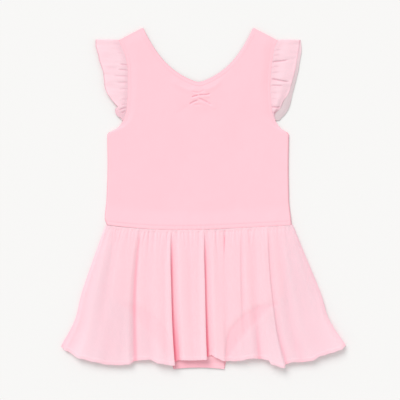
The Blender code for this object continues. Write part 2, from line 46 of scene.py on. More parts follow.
# Camera: it looks straight down, and the photograph is PHOTO_SPAN across at the table.
PHOTO_SPAN = 0.560
LENS_MM = 85.0
SENSOR_MM = 36.0
AIM = (-0.0050, -0.0023)

# Light
KEY_FROM = (-1.0, 1.95, 1.9)
KEY_WIDTH_DEGREES = 34.0
KEY_STRENGTH = 1.86
SURROUND_STRENGTH = 0.745
LIGHT_BOUNCES = 20
DIFFUSE_BOUNCES = 14

# Table
TABLE_HALF = 3.0
TABLE_DROP = 0.0003
TABLE_COLOUR = (0.83, 0.825, 0.815, 1.0)
TABLE_ROUGHNESS = 0.95

# Cloth surfaces
CLEAR_TINT = (1.0, 0.90, 0.93, 1.0)
# Painted shade: the grey that a sheer layer is painted where another layer shades it.
SHADED_COLOUR = (0.77, 0.66, 0.675, 1.0)
SHEEN_TINT = (1.0, 0.86, 0.90, 1.0)
SHEEN_ROUGHNESS = 0.45
CLOTH_ROUGHNESS = 0.82
CLOTH_SPECULAR = 0.25
PATCH_SCALE = 38.0
PATCH_DETAIL = 4.0
WEAVE_DEPTH = 0.0002
WEAVE_WOBBLE = 0.6

# Cloth
JERSEY = 0.0006
CHIFFON = 0.00025
SHARP_DEGREES = 50.0

# Bodice outline, as the frame has it
WAIST_HALF = 0.1310
WAIST_RISE = 0.0065
WAIST_CURVE = 2.0
WAIST_LEAN = 0.0011
SHOULDER_HALF = 0.1112
SHOULDER_Y = 0.2642
UNDERARM_Y = 0.1338
NECK_HALF = 0.0770
NECK_END_Y = 0.2820
FRONT_NECK_Y = 0.2062
FRONT_NECK_SLOPE = 0.44
NECK_POINT_ROUND = 0.0060
NECK_SHIFT = 0.0008
BACK_NECK_Y = 0.1730
BACK_NECK_POWER = 2.4
SEAM_GAP = 0.00006

# Heights of the cloth's upper faces above the table
BODICE_BACK_TOP = 0.0010
BODICE_EDGE_TOP = 0.0023
BODICE_LIFT = 0.0012
BODICE_WAIST_LIFT = 0.0018
BRIEF_BACK_TOP = 0.0027
BRIEF_FRONT_TOP = 0.0040
SKIRT_SEAM_TOP = 0.0048
EDGE_ROLL = 0.014
SIDE_ROLL = 0.0024
SIDE_DROP = 0.0011
SIDE_DROP_RUN = 0.0018
BACK_SINK = 0.0002
BACK_SIDE_RISE = 0.0002
BACK_SIDE_RUN = 0.0036
WAIST_ROLL = 0.030

# Seams and edges
NECK_BAND = 0.0056
ARMHOLE_STITCH = 0.0042
WAIST_STITCH = 0.0056
HEM_WIDTH = 0.0036
STITCH_LENGTH = 0.0021
STITCH_GAP = 0.0009
THREAD_RADIUS = 0.00016
THREAD_SIDES = 6
ARMHOLE_THREAD_Y = 0.146
SEAM_END = 0.004
ARMHOLE_THREAD_END = 0.003
NECK_THREAD_SHARE = 0.97
RAY_FROM_Z = 0.05

# Bodice: where the side turns into the armhole, the swell round the pinch, the dents and the painted
# shade
ARMHOLE_START = 0.004
ARMHOLE_RUN = 0.006
TOP_LIFT_SHARE = 0.35
CREASE_CLEAR = 0.004
PINCH_RISE = 0.0008
PINCH_Y = 0.187
PINCH_REACH = 0.020
PINCH_SQUASH = 0.7
THREAD_DENT = 0.00016
ARMHOLE_DENT_HALF = 0.0008
WAIST_DENT_HALF = 0.0007
SEAM_DIP = 0.00015
SEAM_DIP_RUN = 0.0020
PUCKER = 0.00010
PUCKER_REACH = 0.009
PUCKER_PITCH = 0.00095
# Painted shade on the bodice front: darker along its rims, in its creases and along its stitching.
RIM_SHADE = 0.55
RIM_RUN = 0.0022
ARMHOLE_RIM_CUT = 0.9
CREASE_SHADE = 0.30
CREASE_SHADE_DEPTH = 0.0011
NECK_THREAD_SHADE = 0.06
WAIST_THREAD_SHADE = 0.10
BAND_RISE = 0.00016
BAND_STEP = 0.0010
BAND_GROOVE = 0.00010
BAND_GROOVE_HALF = 0.0006
BAND_TURN = 0.0008
BAND_TURN_RUN = 0.0013

# Brief
CROTCH_HALF = 0.0365
CROTCH_Y = -0.1930
CROTCH_DIP = 0.0022
CROTCH_DROP_Y = -0.1780
CROTCH_DROP = 0.0017
CROTCH_DROP_RUN = 0.010
# Painted shadow of the skirt's hem on the crotch
CROTCH_SHADE = 0.40
CROTCH_SHADE_Y = -0.176
CROTCH_SHADE_RUN = 0.006
CROTCH_SHADE_X = 0.026
CROTCH_SHADE_SIDE_RUN = 0.012
LEG_START_Y = -0.094
LEG_PUCKER = 0.00030
LEG_PUCKER_REACH = 0.005
LEG_PUCKER_PITCH = 0.00052

# Skirt
PUFF_FADE = 0.11
GATHER_DEPTH = 1.35
COLUMN_PITCH = 0.0009
BACK_HEM_Y = -0.1735
BACK_HEM_SIDE_Y = -0.1630
BACK_GATHERS = 16
FOLD_SPAN = 0.013
# Painted shade on the skirt front: deeper colour in its folds, over the leg opening and among the
# gathers at the seam.
FOLD_SHADE_FROM = 0.0007
FOLD_SHADE_RUN = 0.0022
SOFT_SHADE = 0.12
SOFT_SHADE_RUN = 0.0016
LEG_SHADE = 0.10
SEAM_SHADE = 0.05
LEG_HOLLOW = 0.0007
HEM_STEP = 0.00025
HEM_STEP_FROM = 0.972
HEM_STEP_RUN = 0.006
HEM_INWARD_ROW = -8
# The turned hem: how far in from the edge and how far down each of its rows lies.
HEM_TURN = ((-0.0003, 0.0003), (0.0, 0.0007), (0.45 * HEM_WIDTH, 0.0008), (HEM_WIDTH, 0.0008))
SIDE_DRAW_IN = 0.0046
SIDE_DRAW_IN_AT = 0.77
SIDE_DRAW_IN_REACH = 0.14
SIDE_FLARE = 0.0024
SIDE_FLARE_RUN = 0.12
SIDE_POWER = 5
SKIRT_LENGTH = 0.183
# How far down the painted shade among the gathers fades.
SEAM_SHADE_FADE = 0.12
SKIRT_EDGE_RUN = 0.006
SEAM_EDGE_RUN = 0.0028
GATHER_START = 0.010
GATHER_START_RUN = 0.016
LEG_EDGE_RUN = 0.003
LEG_BACK_INSET = 0.004
LEG_BACK_RUN = 0.010
LEG_OPENING_Y = -0.098
LEG_OPENING_RUN = 0.010
BACK_SKIRT_TOP = 0.0006
BACK_WAVE = 0.0004
BACK_FINE = 0.00012
BACK_EDGE_SHARE = 0.06

# Flutter sleeves
FLUTTER_END_Y = 0.1525
FLUTTER_SEAM_TOP = 0.0022
FLUTTER_SEAM_RISE = 0.0006
FLUTTER_SEAM_RUN = 0.0050
FLUTTER_BACK_TOP = 0.0010
EDGE_FALL_LEFT = 0.35
EDGE_FALL_RIGHT = 0.95
EDGE_FALL_FROM = 0.35
BACK_DOME = 0.0004
BACK_DOME_LEFT_SHARE = 0.3
BACK_DOME_RISE = 0.005
BACK_DOME_FALL = 0.009
BACK_DOME_TOP_RUN = 0.02
BACK_DOME_END_RUN = 0.012
END_TAPER = 0.05
LIFT_TOP = 0.0014
LIFT_LOW = 0.0028
RIGHT_EDGE_SINK = 0.0008
CREASE_SHARE = 0.8
# Painted shade on the flutter sleeves: near the gathered seam, at the tucked lower end, along the
# rolled hem, in creases and on the back layer.
GATHERED_SHADE = 0.22
GATHERED_RUN = 0.013
TUCKED_SHADE = 0.36
TUCKED_FROM = 0.84
TUCKED_RUN = 0.06
FLUTTER_HEM_SHADE_LEFT = 0.8
FLUTTER_HEM_SHADE_RIGHT = 0.45
FLUTTER_HEM_FROM = 0.955
FLUTTER_HEM_RUN = 0.03
FLUTTER_CREASE_SHADE = 0.55
FLUTTER_CREASE_DEPTH = 0.0010
BACK_SHADE = 0.20
BACK_HEM_SHADE = 0.3
BACK_HEM_FROM = 0.93
BACK_HEM_RUN = 0.06
# Painted shade: the grey on the right sleeve's back layer where the front layer shades it.
SHADED_TOP = 0.25
SHADED_LOW = 0.85
SHADED_RUN = 0.5
PAST_FRONT_RUN = 0.0025
SHOULDER_TURNS = 9

# Small unevenness: height, size in each of the two directions and which noise it takes
Ripple = namedtuple("Ripple", "height across along seed")
BODICE_SOFT = Ripple(0.0006, 0.055, 0.075, 3.0)
BODICE_FINE = Ripple(0.00012, 0.011, 0.014, 7.0)
BRIEF_SOFT = Ripple(0.00025, 0.016, 0.022, 11.0)
SKIRT_SOFT = Ripple(0.00050, 0.011, 1 / 1.2, 2.0)
SKIRT_SEAM = Ripple(0.00030, 0.0045, 1 / 2.6, 4.0)
SKIRT_HEM = Ripple(0.0004, 0.006, 1.0, 6.0)
SKIRT_BACK_FINE = Ripple(1.0, 0.004, 1 / 3.0, 8.0)
FLUTTER_GATHERS = Ripple(0.0003, 0.0042, 1 / 1.2, 20.0)
FLUTTER_WAVES = Ripple(0.0007, 0.013, 1 / 0.8, 30.0)
FLUTTER_EDGE = Ripple(0.0005, 0.006, 1.0, 40.0)
FLUTTER_PATCHES = Ripple(0.10, 0.009, 1 / 2.0, 50.0)

Reach = namedtuple("Reach", "y left right")
BODICE_SIDES = [
    Reach(0.0065, 0.1275, 0.1310),
    Reach(0.0150, 0.1305, 0.1302),
    Reach(0.0420, 0.1281, 0.1273),
    Reach(0.0900, 0.1266, 0.1266),
    Reach(0.1338, 0.1270, 0.1272),
    Reach(0.1375, 0.1202, 0.1210),
    Reach(0.1420, 0.1122, 0.1145),
    Reach(0.1500, 0.1060, 0.1090),
    Reach(0.1580, 0.1022, 0.1045),
    Reach(0.1720, 0.0994, 0.1024),
    Reach(0.1950, 0.0981, 0.1007),
    Reach(0.2230, 0.0982, 0.1022),
    Reach(0.2400, 0.1010, 0.1042),
    Reach(0.2530, 0.1057, 0.1066),
    Reach(0.2642, 0.1112, 0.1112),
]
BRIEF_FRONT_SIDES = [
    Reach(0.0065, 0.1210, 0.1210),
    Reach(-0.0940, 0.1190, 0.1195),
    Reach(-0.1010, 0.0950, 0.0950),
    Reach(-0.1110, 0.0720, 0.0720),
    Reach(-0.1240, 0.0550, 0.0550),
    Reach(-0.1390, 0.0430, 0.0430),
    Reach(-0.1560, 0.0360, 0.0375),
    Reach(-0.1750, 0.0338, 0.0362),
    Reach(-0.1952, 0.0340, 0.0365),
]
BRIEF_BACK_SIDES = [
    Reach(0.0065, 0.1210, 0.1210),
    Reach(-0.0940, 0.1190, 0.1195),
    Reach(-0.1080, 0.1010, 0.1010),
    Reach(-0.1250, 0.0830, 0.0830),
    Reach(-0.1450, 0.0660, 0.0660),
    Reach(-0.1640, 0.0510, 0.0510),
    Reach(-0.1800, 0.0400, 0.0410),
    Reach(-0.1952, 0.0340, 0.0365),
]
# The outer edges of the flutter sleeves' front layers, then of their back layers.
FLUTTER_EDGES = [
    Reach(0.1500, 0.1072, 0.1104),
    Reach(0.1546, 0.1074, 0.1078),
    Reach(0.1588, 0.1128, 0.1068),
    Reach(0.1630, 0.1153, 0.1084),
    Reach(0.1672, 0.1158, 0.1130),
    Reach(0.1714, 0.1124, 0.1158),
    Reach(0.1756, 0.1160, 0.1172),
    Reach(0.1810, 0.1208, 0.1200),
    Reach(0.1880, 0.1256, 0.1255),
    Reach(0.1970, 0.1299, 0.1290),
    Reach(0.2070, 0.1311, 0.1315),
    Reach(0.2190, 0.1325, 0.1350),
    Reach(0.2340, 0.1375, 0.1380),
    Reach(0.2500, 0.1412, 0.1405),
    Reach(0.2560, 0.1432, 0.1415),
    Reach(0.2642, 0.1430, 0.1420),
]
FLUTTER_BACK_EDGES = [
    Reach(0.1500, 0.1070, 0.1112),
    Reach(0.1546, 0.1070, 0.1150),
    Reach(0.1588, 0.1110, 0.1192),
    Reach(0.1630, 0.1130, 0.1228),
    Reach(0.1686, 0.1118, 0.1262),
    Reach(0.1742, 0.1140, 0.1284),
    Reach(0.1868, 0.1232, 0.1312),
    Reach(0.1952, 0.1280, 0.1333),
    Reach(0.2232, 0.1320, 0.1402),
    Reach(0.2372, 0.1376, 0.1424),
    Reach(0.2512, 0.1405, 0.1446),
    Reach(0.2642, 0.1430, 0.1434),
]

# Lines down the skirt front from left to right, in millimetres: where each leaves the waist seam,
# where it is halfway down and at the hem, how low the hem hangs there, the height of the cloth
# halfway down and at the hem, and how far the cloth from this line to the next doubles back.
Fold = namedtuple("Fold", "waist_x middle_x hem_x hem_y middle_z hem_z tuck")
SKIRT_FOLDS = [
    Fold(-129.0, -159.5, -189.5, -164.0, 2.8, 2.8, 0.0),
    Fold(-126.0, -154.5, -182.5, -169.5, 5.0, 4.6, 0.0),
    Fold(-120.5, -141.0, -162.0, -179.5, 7.6, 9.4, 0.0),
    Fold(-113.0, -129.5, -143.5, -184.0, 7.0, 9.2, 0.0),
    Fold(-103.0, -118.0, -125.0, -188.0, 8.2, 7.6, 0.0),
    Fold(-92.0, -104.5, -108.5, -188.7, 8.0, 7.6, 0.0),
    Fold(-85.5, -96.5, -97.0, -187.9, 8.0, 8.2, 0.0),
    Fold(-79.8, -88.2, -87.5, -182.9, 5.5, 5.5, 0.0),
    Fold(-75.0, -81.0, -77.5, -181.7, 7.7, 7.4, 0.0),
    Fold(-68.0, -72.0, -68.0, -181.0, 7.4, 7.8, 0.0),
    Fold(-56.5, -58.0, -54.0, -186.0, 8.8, 10.4, 0.0),
    Fold(-45.5, -47.0, -42.5, -188.0, 8.4, 9.8, 0.0),
    Fold(-38.5, -40.2, -35.0, -188.8, 9.8, 11.6, 2.4),
    Fold(-35.8, -37.0, -33.0, -184.6, 5.2, 5.0, 0.0),
    Fold(-33.0, -32.5, -27.5, -182.0, 6.0, 5.5, 0.0),
    Fold(-27.0, -23.5, -18.5, -181.6, 8.9, 9.4, 0.0),
    Fold(-13.5, -10.5, -6.5, -182.0, 8.0, 8.8, 0.0),
    Fold(0.5, 0.0, 2.0, -181.4, 8.6, 9.6, 0.0),
    Fold(7.5, 7.2, 9.8, -180.8, 9.6, 11.2, 1.9),
    Fold(10.2, 10.4, 12.6, -177.4, 5.2, 5.0, 0.0),
    Fold(13.5, 14.6, 17.6, -175.0, 6.0, 6.2, 0.0),
    Fold(19.0, 22.0, 26.0, -178.5, 8.3, 8.7, 0.0),
    Fold(29.0, 31.0, 34.5, -182.7, 7.4, 8.4, 0.0),
    Fold(38.0, 38.0, 43.0, -183.2, 7.3, 7.0, 0.0),
    Fold(48.5, 50.0, 54.0, -183.0, 8.2, 7.6, 0.0),
    Fold(57.5, 58.2, 62.5, -181.8, 8.2, 9.0, 0.0),
    Fold(61.0, 61.8, 68.0, -180.3, 6.9, 9.2, 0.0),
    Fold(66.5, 68.6, 75.0, -179.3, 8.2, 9.2, 0.0),
    Fold(76.5, 79.0, 85.0, -179.6, 7.2, 7.4, 0.0),
    Fold(86.5, 91.0, 97.0, -181.5, 9.0, 10.2, 0.0),
    Fold(89.5, 94.0, 102.0, -187.5, 9.2, 10.8, 0.0),
    Fold(96.0, 101.5, 119.0, -192.4, 9.0, 10.8, 0.3),
    Fold(99.0, 104.9, 122.4, -187.0, 7.0, 7.4, 0.0),
    Fold(104.5, 112.5, 131.0, -184.5, 7.9, 8.4, 0.0),
    Fold(111.5, 123.5, 143.5, -184.6, 6.6, 7.0, 0.0),
    Fold(117.0, 133.5, 157.0, -182.5, 7.8, 8.6, 0.0),
    Fold(122.5, 143.5, 170.5, -175.5, 6.9, 8.6, 0.0),
    Fold(126.0, 153.0, 184.0, -171.5, 6.6, 9.0, 0.0),
    Fold(129.5, 162.0, 197.0, -167.0, 5.0, 9.0, 0.0),
    Fold(132.5, 167.5, 204.5, -161.5, 2.8, 5.6, 0.0),
]

# Gathers at the waist seam, in millimetres: place along the seam, depth, width, how far down it
# dies away, and how far it drifts sideways by then.
Gather = namedtuple("Gather", "x depth width length drift")
GATHERS_FROM, GATHERS_TO = -126.0, 129.0
GATHER_PITCH, GATHER_PITCH_SPREAD = 4.6, 2.2
NOTED_GATHER_CLEAR = 2.6
NOTED_GATHERS = [
    Gather(-67.6, 0.9, 1.5, 26, 0.0),
    Gather(-60.4, 0.8, 1.3, 20, 0.0),
    Gather(-55.7, 0.7, 1.2, 14, 0.0),
    Gather(-42.4, 0.9, 1.4, 26, 0.0),
    Gather(-29.8, 0.8, 1.2, 18, 1.0),
    Gather(-23.5, 0.7, 1.2, 14, 0.0),
    Gather(-19.3, 0.8, 1.2, 20, 1.0),
    Gather(-13.0, 0.8, 1.3, 24, 1.0),
    Gather(-6.7, 0.7, 1.2, 16, 0.0),
    Gather(1.0, 0.9, 1.3, 24, 0.0),
    Gather(24.6, 0.9, 1.3, 26, 1.0),
    Gather(31.5, 0.6, 1.2, 14, 0.0),
    Gather(37.3, 1.7, 1.1, 36, 0.0),
    Gather(44.0, 0.7, 1.3, 16, 0.0),
    Gather(52.0, 0.7, 1.3, 18, 1.0),
    Gather(70.0, 0.8, 1.4, 22, 2.0),
]

# Creases: both ends in millimetres, sideways bow, depth (below 0 for a ridge) and half width.
Crease = namedtuple("Crease", "x0 y0 x1 y1 bow depth width")
CREASE_START_TAPER, CREASE_END_TAPER = 0.22, 0.30
PINCH_CREASES = [
    Crease(-8.2, 184.4, 1.6, 187.2, 0.6, 1.25, 1.0),
    Crease(1.8, 187.8, 18.5, 189.4, -0.7, 1.20, 1.0),
    Crease(-11.5, 174.8, 1.6, 180.2, 0.9, 1.10, 1.1),
    Crease(1.8, 182.6, 20.5, 172.2, 0.9, 1.10, 1.1),
    Crease(-5.0, 174.0, 5.0, 174.6, 0.0, 0.45, 1.5),
    Crease(-8.0, 192.6, 2.0, 191.0, -0.5, 0.55, 1.0),
    Crease(1.5, 191.0, 9.0, 195.0, -0.2, 0.40, 1.0),
    Crease(9.5, 194.6, 34.0, 209.5, -1.5, -0.60, 4.2),
    Crease(-4.5, 192.4, -42.0, 210.5, 1.8, -0.50, 4.2),
    Crease(13.0, 177.0, 24.0, 166.0, 0.0, -0.40, 2.8),
    Crease(6.0, 186.6, 18.0, 185.2, 0.0, -0.45, 2.0),
    Crease(3.0, 178.0, 11.0, 174.6, 0.0, -0.35, 2.0),
    Crease(-9.0, 182.6, 1.0, 184.4, 0.0, -0.40, 2.0),
    Crease(-10.0, 197.0, -30.0, 206.0, 0.5, 0.25, 2.4),
    Crease(12.0, 198.0, 30.0, 207.5, -0.5, 0.25, 2.4),
    Crease(-14.0, 172.0, -34.0, 160.0, 0.0, 0.20, 3.4),
    Crease(10.0, 168.0, 22.0, 150.0, 0.0, 0.20, 3.4),
]
LEFT_FLUTTER_CREASES = [
    Crease(-102.0, 246.0, -113.0, 247.0, 0.5, 0.35, 1.3),
    Crease(-98.0, 230.2, -110.0, 231.2, 0.4, 0.90, 1.0),
    Crease(-98.0, 222.5, -113.0, 223.2, -0.2, 0.85, 1.2),
    Crease(-113.0, 224.4, -129.0, 225.0, -0.2, 0.32, 2.6),
    Crease(-98.0, 214.4, -120.0, 215.0, 0.5, 0.60, 1.3),
    Crease(-98.0, 206.0, -115.0, 205.0, 0.5, 0.52, 1.5),
    Crease(-98.0, 197.0, -112.0, 196.0, 0.4, 0.50, 1.3),
    Crease(-98.0, 183.0, -108.0, 181.5, 0.4, 0.42, 1.3),
    Crease(-99.0, 175.6, -108.0, 174.0, 0.3, 0.50, 1.2),
    Crease(-99.5, 171.0, -112.0, 166.4, 0.3, 0.90, 1.3),
    Crease(-101.0, 166.0, -108.0, 162.0, 0.2, 0.7, 1.2),
]
RIGHT_FLUTTER_CREASES = [
    Crease(106.0, 249.6, 115.0, 250.2, 0.3, 0.35, 1.2),
    Crease(105.0, 242.5, 114.0, 243.2, 0.3, 0.35, 1.2),
    Crease(103.5, 234.4, 128.0, 237.4, -0.8, 1.10, 1.1),
    Crease(102.0, 226.5, 114.0, 227.0, 0.3, 0.42, 1.3),
    Crease(102.0, 218.6, 114.0, 219.0, 0.3, 0.38, 1.4),
    Crease(103.0, 210.4, 129.0, 205.8, -0.5, 1.25, 1.1),
    Crease(102.5, 201.2, 120.0, 200.2, 0.2, 0.85, 1.1),
    Crease(102.0, 191.0, 112.0, 189.6, 0.4, 0.35, 1.3),
    Crease(102.0, 182.4, 112.0, 181.0, 0.4, 0.35, 1.3),
    Crease(103.0, 171.8, 116.0, 171.5, -1.2, 1.20, 1.2),
    Crease(103.5, 164.0, 110.0, 161.0, 0.2, 0.7, 1.2),
]


def smooth(t):
    """0 below 0, 1 above 1, with no corner between."""
    t = np.clip(t, 0.0, 1.0)
    return t * t * (3.0 - 2.0 * t)


def blend(a, b, t):
    return a + (b - a) * t


def hump(distance, half_width):
    return np.exp(-np.square(distance / half_width))


def through(positions, values, at):
    """Monotone cubic curve through values at rising positions, read at an array of positions."""
    p, f = np.asarray(positions, float), np.asarray(values, float)
    slopes = np.diff(f) / np.diff(p)
    before, after = slopes[:-1], slopes[1:]
    total = np.where(before + after == 0.0, 1.0, before + after)
    inner = np.where(before * after > 0.0, 2.0 * before * after / total, 0.0)
    tangents = np.concatenate([slopes[:1], inner, slopes[-1:]])
    at = np.clip(at, p[0], p[-1])
    i = np.clip(np.searchsorted(p, at, side="right") - 1, 0, len(p) - 2)
    step = p[i + 1] - p[i]
    t = (at - p[i]) / step
    return (
        (1 + 2 * t) * (1 - t) ** 2 * f[i]
        + t * (1 - t) ** 2 * step * tangents[i]
        + t * t * (3 - 2 * t) * f[i + 1]
        + t * t * (t - 1) * step * tangents[i + 1]
    )


def reach_at(sides, y, q):
    """How far from the centre line a panel's edge is at height y, on the side that q is on."""
    knots = sorted(sides)
    heights = [knot.y for knot in knots]
    left = through(heights, [knot.left for knot in knots], y)
    right = through(heights, [knot.right for knot in knots], y)
    return np.where(q > 0, right, left)


def cloth_noise(a, b, seed):
    """Smooth noise from -1 to 1 at each pair of coordinates."""
    a, b = np.broadcast_arrays(a, b)
    found = [noise.noise((p, q, seed)) for p, q in zip(a.ravel().tolist(), b.ravel().tolist())]
    return np.array(found).reshape(a.shape)


def ripple(kind, a, b, seed_shift=0.0):
    """Unevenness of one kind at each pair of coordinates."""
    return kind.height * cloth_noise(a / kind.across, b / kind.along, kind.seed + seed_shift)


def crease_height(x, y, creases):
    """Height that creases add at each point."""
    height = np.zeros_like(x)
    for crease in creases:
        start = np.array((crease.x0, crease.y0)) * MM
        run = np.array((crease.x1, crease.y1)) * MM - start
        length = math.hypot(*run)
        ahead = ((x - start[0]) * run[0] + (y - start[1]) * run[1]) / length
        aside = ((y - start[1]) * run[0] - (x - start[0]) * run[1]) / length
        along = ahead / length
        aside = aside - crease.bow * MM * 4.0 * along * (1.0 - along)
        taper = smooth(along / CREASE_START_TAPER + 0.5)
        taper = taper * smooth((1.0 - along) / CREASE_END_TAPER)
        height = height - crease.depth * MM * taper * hump(aside, crease.width * MM)
    return height


def waist_y(x):
    across = x / WAIST_HALF
    return WAIST_RISE * np.abs(across) ** WAIST_CURVE + WAIST_LEAN * np.sin(math.pi * across)


def below_seam(x):
    return waist_y(x) - SEAM_GAP


def shoulder_y(x):
    along = (SHOULDER_HALF - np.abs(x)) / (SHOULDER_HALF - NECK_HALF)
    return blend(SHOULDER_Y, NECK_END_Y, along)


def front_top_y(x):
    """The neckline, which the pinch draws to a soft V, then the shoulder."""
    aside = x - NECK_SHIFT * (1.0 - (x / NECK_HALF) ** 2)
    straight = FRONT_NECK_SLOPE * (np.hypot(aside, NECK_POINT_ROUND) - NECK_POINT_ROUND)
    at_end = FRONT_NECK_SLOPE * (np.hypot(NECK_HALF, NECK_POINT_ROUND) - NECK_POINT_ROUND)
    curl = (NECK_END_Y - FRONT_NECK_Y - at_end) * (np.abs(aside) / NECK_HALF) ** 3
    return np.where(np.abs(x) > NECK_HALF, shoulder_y(x), FRONT_NECK_Y + straight + curl)


def back_top_y(x):
    scoop = BACK_NECK_Y + (NECK_END_Y - BACK_NECK_Y) * (np.abs(x) / NECK_HALF) ** BACK_NECK_POWER
    return np.where(np.abs(x) > NECK_HALF, shoulder_y(x), scoop)


def crotch_y(x):
    return CROTCH_Y - CROTCH_DIP * (x / CROTCH_HALF) ** 2


def panel_points(sides, first_edge, last_edge, across, down):
    """x and y of a panel's grid between two cross edges, with rows down and columns across."""
    first_half, last_half = sides[0].right, sides[-1].right
    start, end = first_edge(first_half), last_edge(last_half)
    t, q = down[:, None], across[None, :]
    x = q * reach_at(sides, blend(start, end, t), q)
    y = blend(first_edge(q * first_half), last_edge(q * last_half), t)
    return x, y


def steps(*runs):
    """One rising array from runs of (start, end, count)."""
    return np.unique(np.concatenate([np.linspace(*run) for run in runs]))


def normals_of(points):
    across = np.gradient(points, axis=1)
    down = np.gradient(points, axis=0)
    normal = np.cross(across, down)
    return normal / np.maximum(np.linalg.norm(normal, axis=2, keepdims=True), 1e-12)


def place(points):
    """From the garment's own lines to the frame's place."""
    return points + ORIGIN


def cloth_piece(name, surface, thickness, material, node, shade=None):
    """A closed thin wall whose upper face is this grid of points. It stands for one node of the frame.

    shade is the painted shade at each point of the grid, kept as a mesh attribute."""
    normal = normals_of(surface)
    if normal[..., 2].mean() < 0:
        normal = -normal
    both = np.concatenate([surface.reshape(-1, 3), (surface - thickness * normal).reshape(-1, 3)])
    rows, columns = surface.shape[:2]
    index = np.arange(rows * columns).reshape(rows, columns)
    a, b, c, d = index[:-1, :-1], index[:-1, 1:], index[1:, 1:], index[1:, :-1]
    top = np.stack([a, b, c, d], axis=-1).reshape(-1, 4)
    bottom = top[:, ::-1] + rows * columns
    rim = np.concatenate([index[0, :-1], index[:-1, -1], index[-1, :0:-1], index[:0:-1, 0]])
    after = np.roll(rim, -1)
    edge = np.stack([after, rim, rim + rows * columns, after + rows * columns], axis=-1)
    faces = np.concatenate([top, bottom, edge])
    up = np.cross(surface[0, 1] - surface[0, 0], surface[1, 0] - surface[0, 0])[2]
    if up < 0:
        faces = faces[:, ::-1]
    mesh = bpy.data.meshes.new(name)
    mesh.from_pydata(place(both).tolist(), [], faces.tolist())
    mesh.shade_smooth()
    mesh.set_sharp_from_angle(angle=math.radians(SHARP_DEGREES))
    mesh.materials.append(material)
    if shade is not None:
        layer = mesh.attributes.new(FOLD_SHADE, "FLOAT", "POINT")
        layer.data.foreach_set("value", np.tile(shade.ravel(), 2).astype(np.float32))
    piece = bpy.data.objects.new(name, mesh)
    bpy.context.scene.collection.objects.link(piece)
    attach(piece, "root")
    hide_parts(node)
    return piece


def stack(x, y, z):
    return np.stack(np.broadcast_arrays(x, y, z), axis=-1).astype(float)


def past_underarm(y):
    """0 along the bodice's side, 1 along its armhole."""
    return smooth((y - UNDERARM_Y - ARMHOLE_START) / ARMHOLE_RUN)


def edge_distance(x, limit, line, step=0.0005):
    """How far below the line y = line(x) each point is, square to it.

    limit is how far below the line the point is at its own x."""
    slope = (line(x + step) - line(x - step)) / (2 * step)
    return limit / np.hypot(1.0, slope)


def bodice_front_surface():
    """The grid of points of the front, and the painted shade at each: darker along its rims, in its
    creases and along the stitching.
    """
    across = steps(
        (-1, -0.965, 15), (-0.965, -0.9, 8), (-0.9, -0.25, 44), (-0.25, 0.25, 84), (0.25, 0.9, 44),
        (0.9, 0.965, 8), (0.965, 1, 15),
    )
    down = steps((0, 0.04, 22), (0.04, 0.55, 34), (0.55, 0.80, 32), (0.80, 1.0, 84))
    x, y = panel_points(BODICE_SIDES, waist_y, front_top_y, across, down)
    q = np.broadcast_to(across[None, :], x.shape)
    from_side = np.minimum(x[:, -1:] - x, x - x[:, :1])
    at_armhole = past_underarm(y)
    side = smooth(from_side / blend(SIDE_ROLL, EDGE_ROLL, at_armhole))
    line_x = q * SHOULDER_HALF
    from_top = front_top_y(line_x) - y
    top = smooth(from_top / EDGE_ROLL)
    from_waist = y - waist_y(x)
    creased = crease_height(x, y, PINCH_CREASES)
    waist_dent = hump(from_waist - WAIST_STITCH, WAIST_DENT_HALF)
    z = BODICE_EDGE_TOP + BODICE_LIFT * side * blend(TOP_LIFT_SHARE, 1.0, top)
    z = z + BODICE_WAIST_LIFT * side * (1.0 - smooth(from_waist / WAIST_ROLL))
    z = z + creased * smooth(from_top / CREASE_CLEAR)
    z = z + PINCH_RISE * hump(np.hypot(PINCH_SQUASH * x, y - PINCH_Y), PINCH_REACH)
    z = z + side * (top * ripple(BODICE_SOFT, x, y) + ripple(BODICE_FINE, x, y))
    neck = edge_distance(line_x, from_top, front_top_y)
    on_neck = np.abs(q) < NECK_HALF / SHOULDER_HALF
    z = z + np.where(on_neck, band_height(neck, NECK_BAND), 0.0)
    z = z - THREAD_DENT * hump(from_side - ARMHOLE_STITCH, ARMHOLE_DENT_HALF) * at_armhole
    z = z - SIDE_DROP * (1.0 - smooth(from_side / SIDE_DROP_RUN)) * (1.0 - at_armhole)
    z = z - THREAD_DENT * waist_dent * side
    z = z - SEAM_DIP * (1.0 - smooth(from_waist / SEAM_DIP_RUN)) * side
    z = z + PUCKER * side * hump(from_waist, PUCKER_REACH) * np.sin(x / PUCKER_PITCH)
    # Painted shade: darker along the rims (less at the armholes), in creases and along the stitching.
    at_edge = np.minimum(from_side, np.where(on_neck, neck, from_side))
    rim = RIM_SHADE * (1.0 - smooth(at_edge / RIM_RUN))
    rim = rim * np.where(neck < from_side, 1.0, 1.0 - ARMHOLE_RIM_CUT * at_armhole)
    painted_crease_shade = CREASE_SHADE * smooth(-creased / CREASE_SHADE_DEPTH)
    painted_stitch_shade = NECK_THREAD_SHADE * np.where(on_neck, hump(neck - NECK_BAND, WAIST_DENT_HALF), 0.0)
    painted_stitch_shade = painted_stitch_shade + WAIST_THREAD_SHADE * waist_dent * side
    return stack(x, y, z), np.clip(rim + painted_crease_shade + painted_stitch_shade, 0.0, 1.0)


def band_height(distance, width):
    """A folded band along an edge: rounded over at the edge, thick to its stitching, then level."""
    band = BAND_RISE * (1.0 - smooth((distance - width + BAND_GROOVE_HALF) / BAND_STEP))
    groove = BAND_GROOVE * hump(distance - width, BAND_GROOVE_HALF)
    turn = BAND_TURN * (1.0 - smooth(distance / BAND_TURN_RUN))
    return band - groove - turn


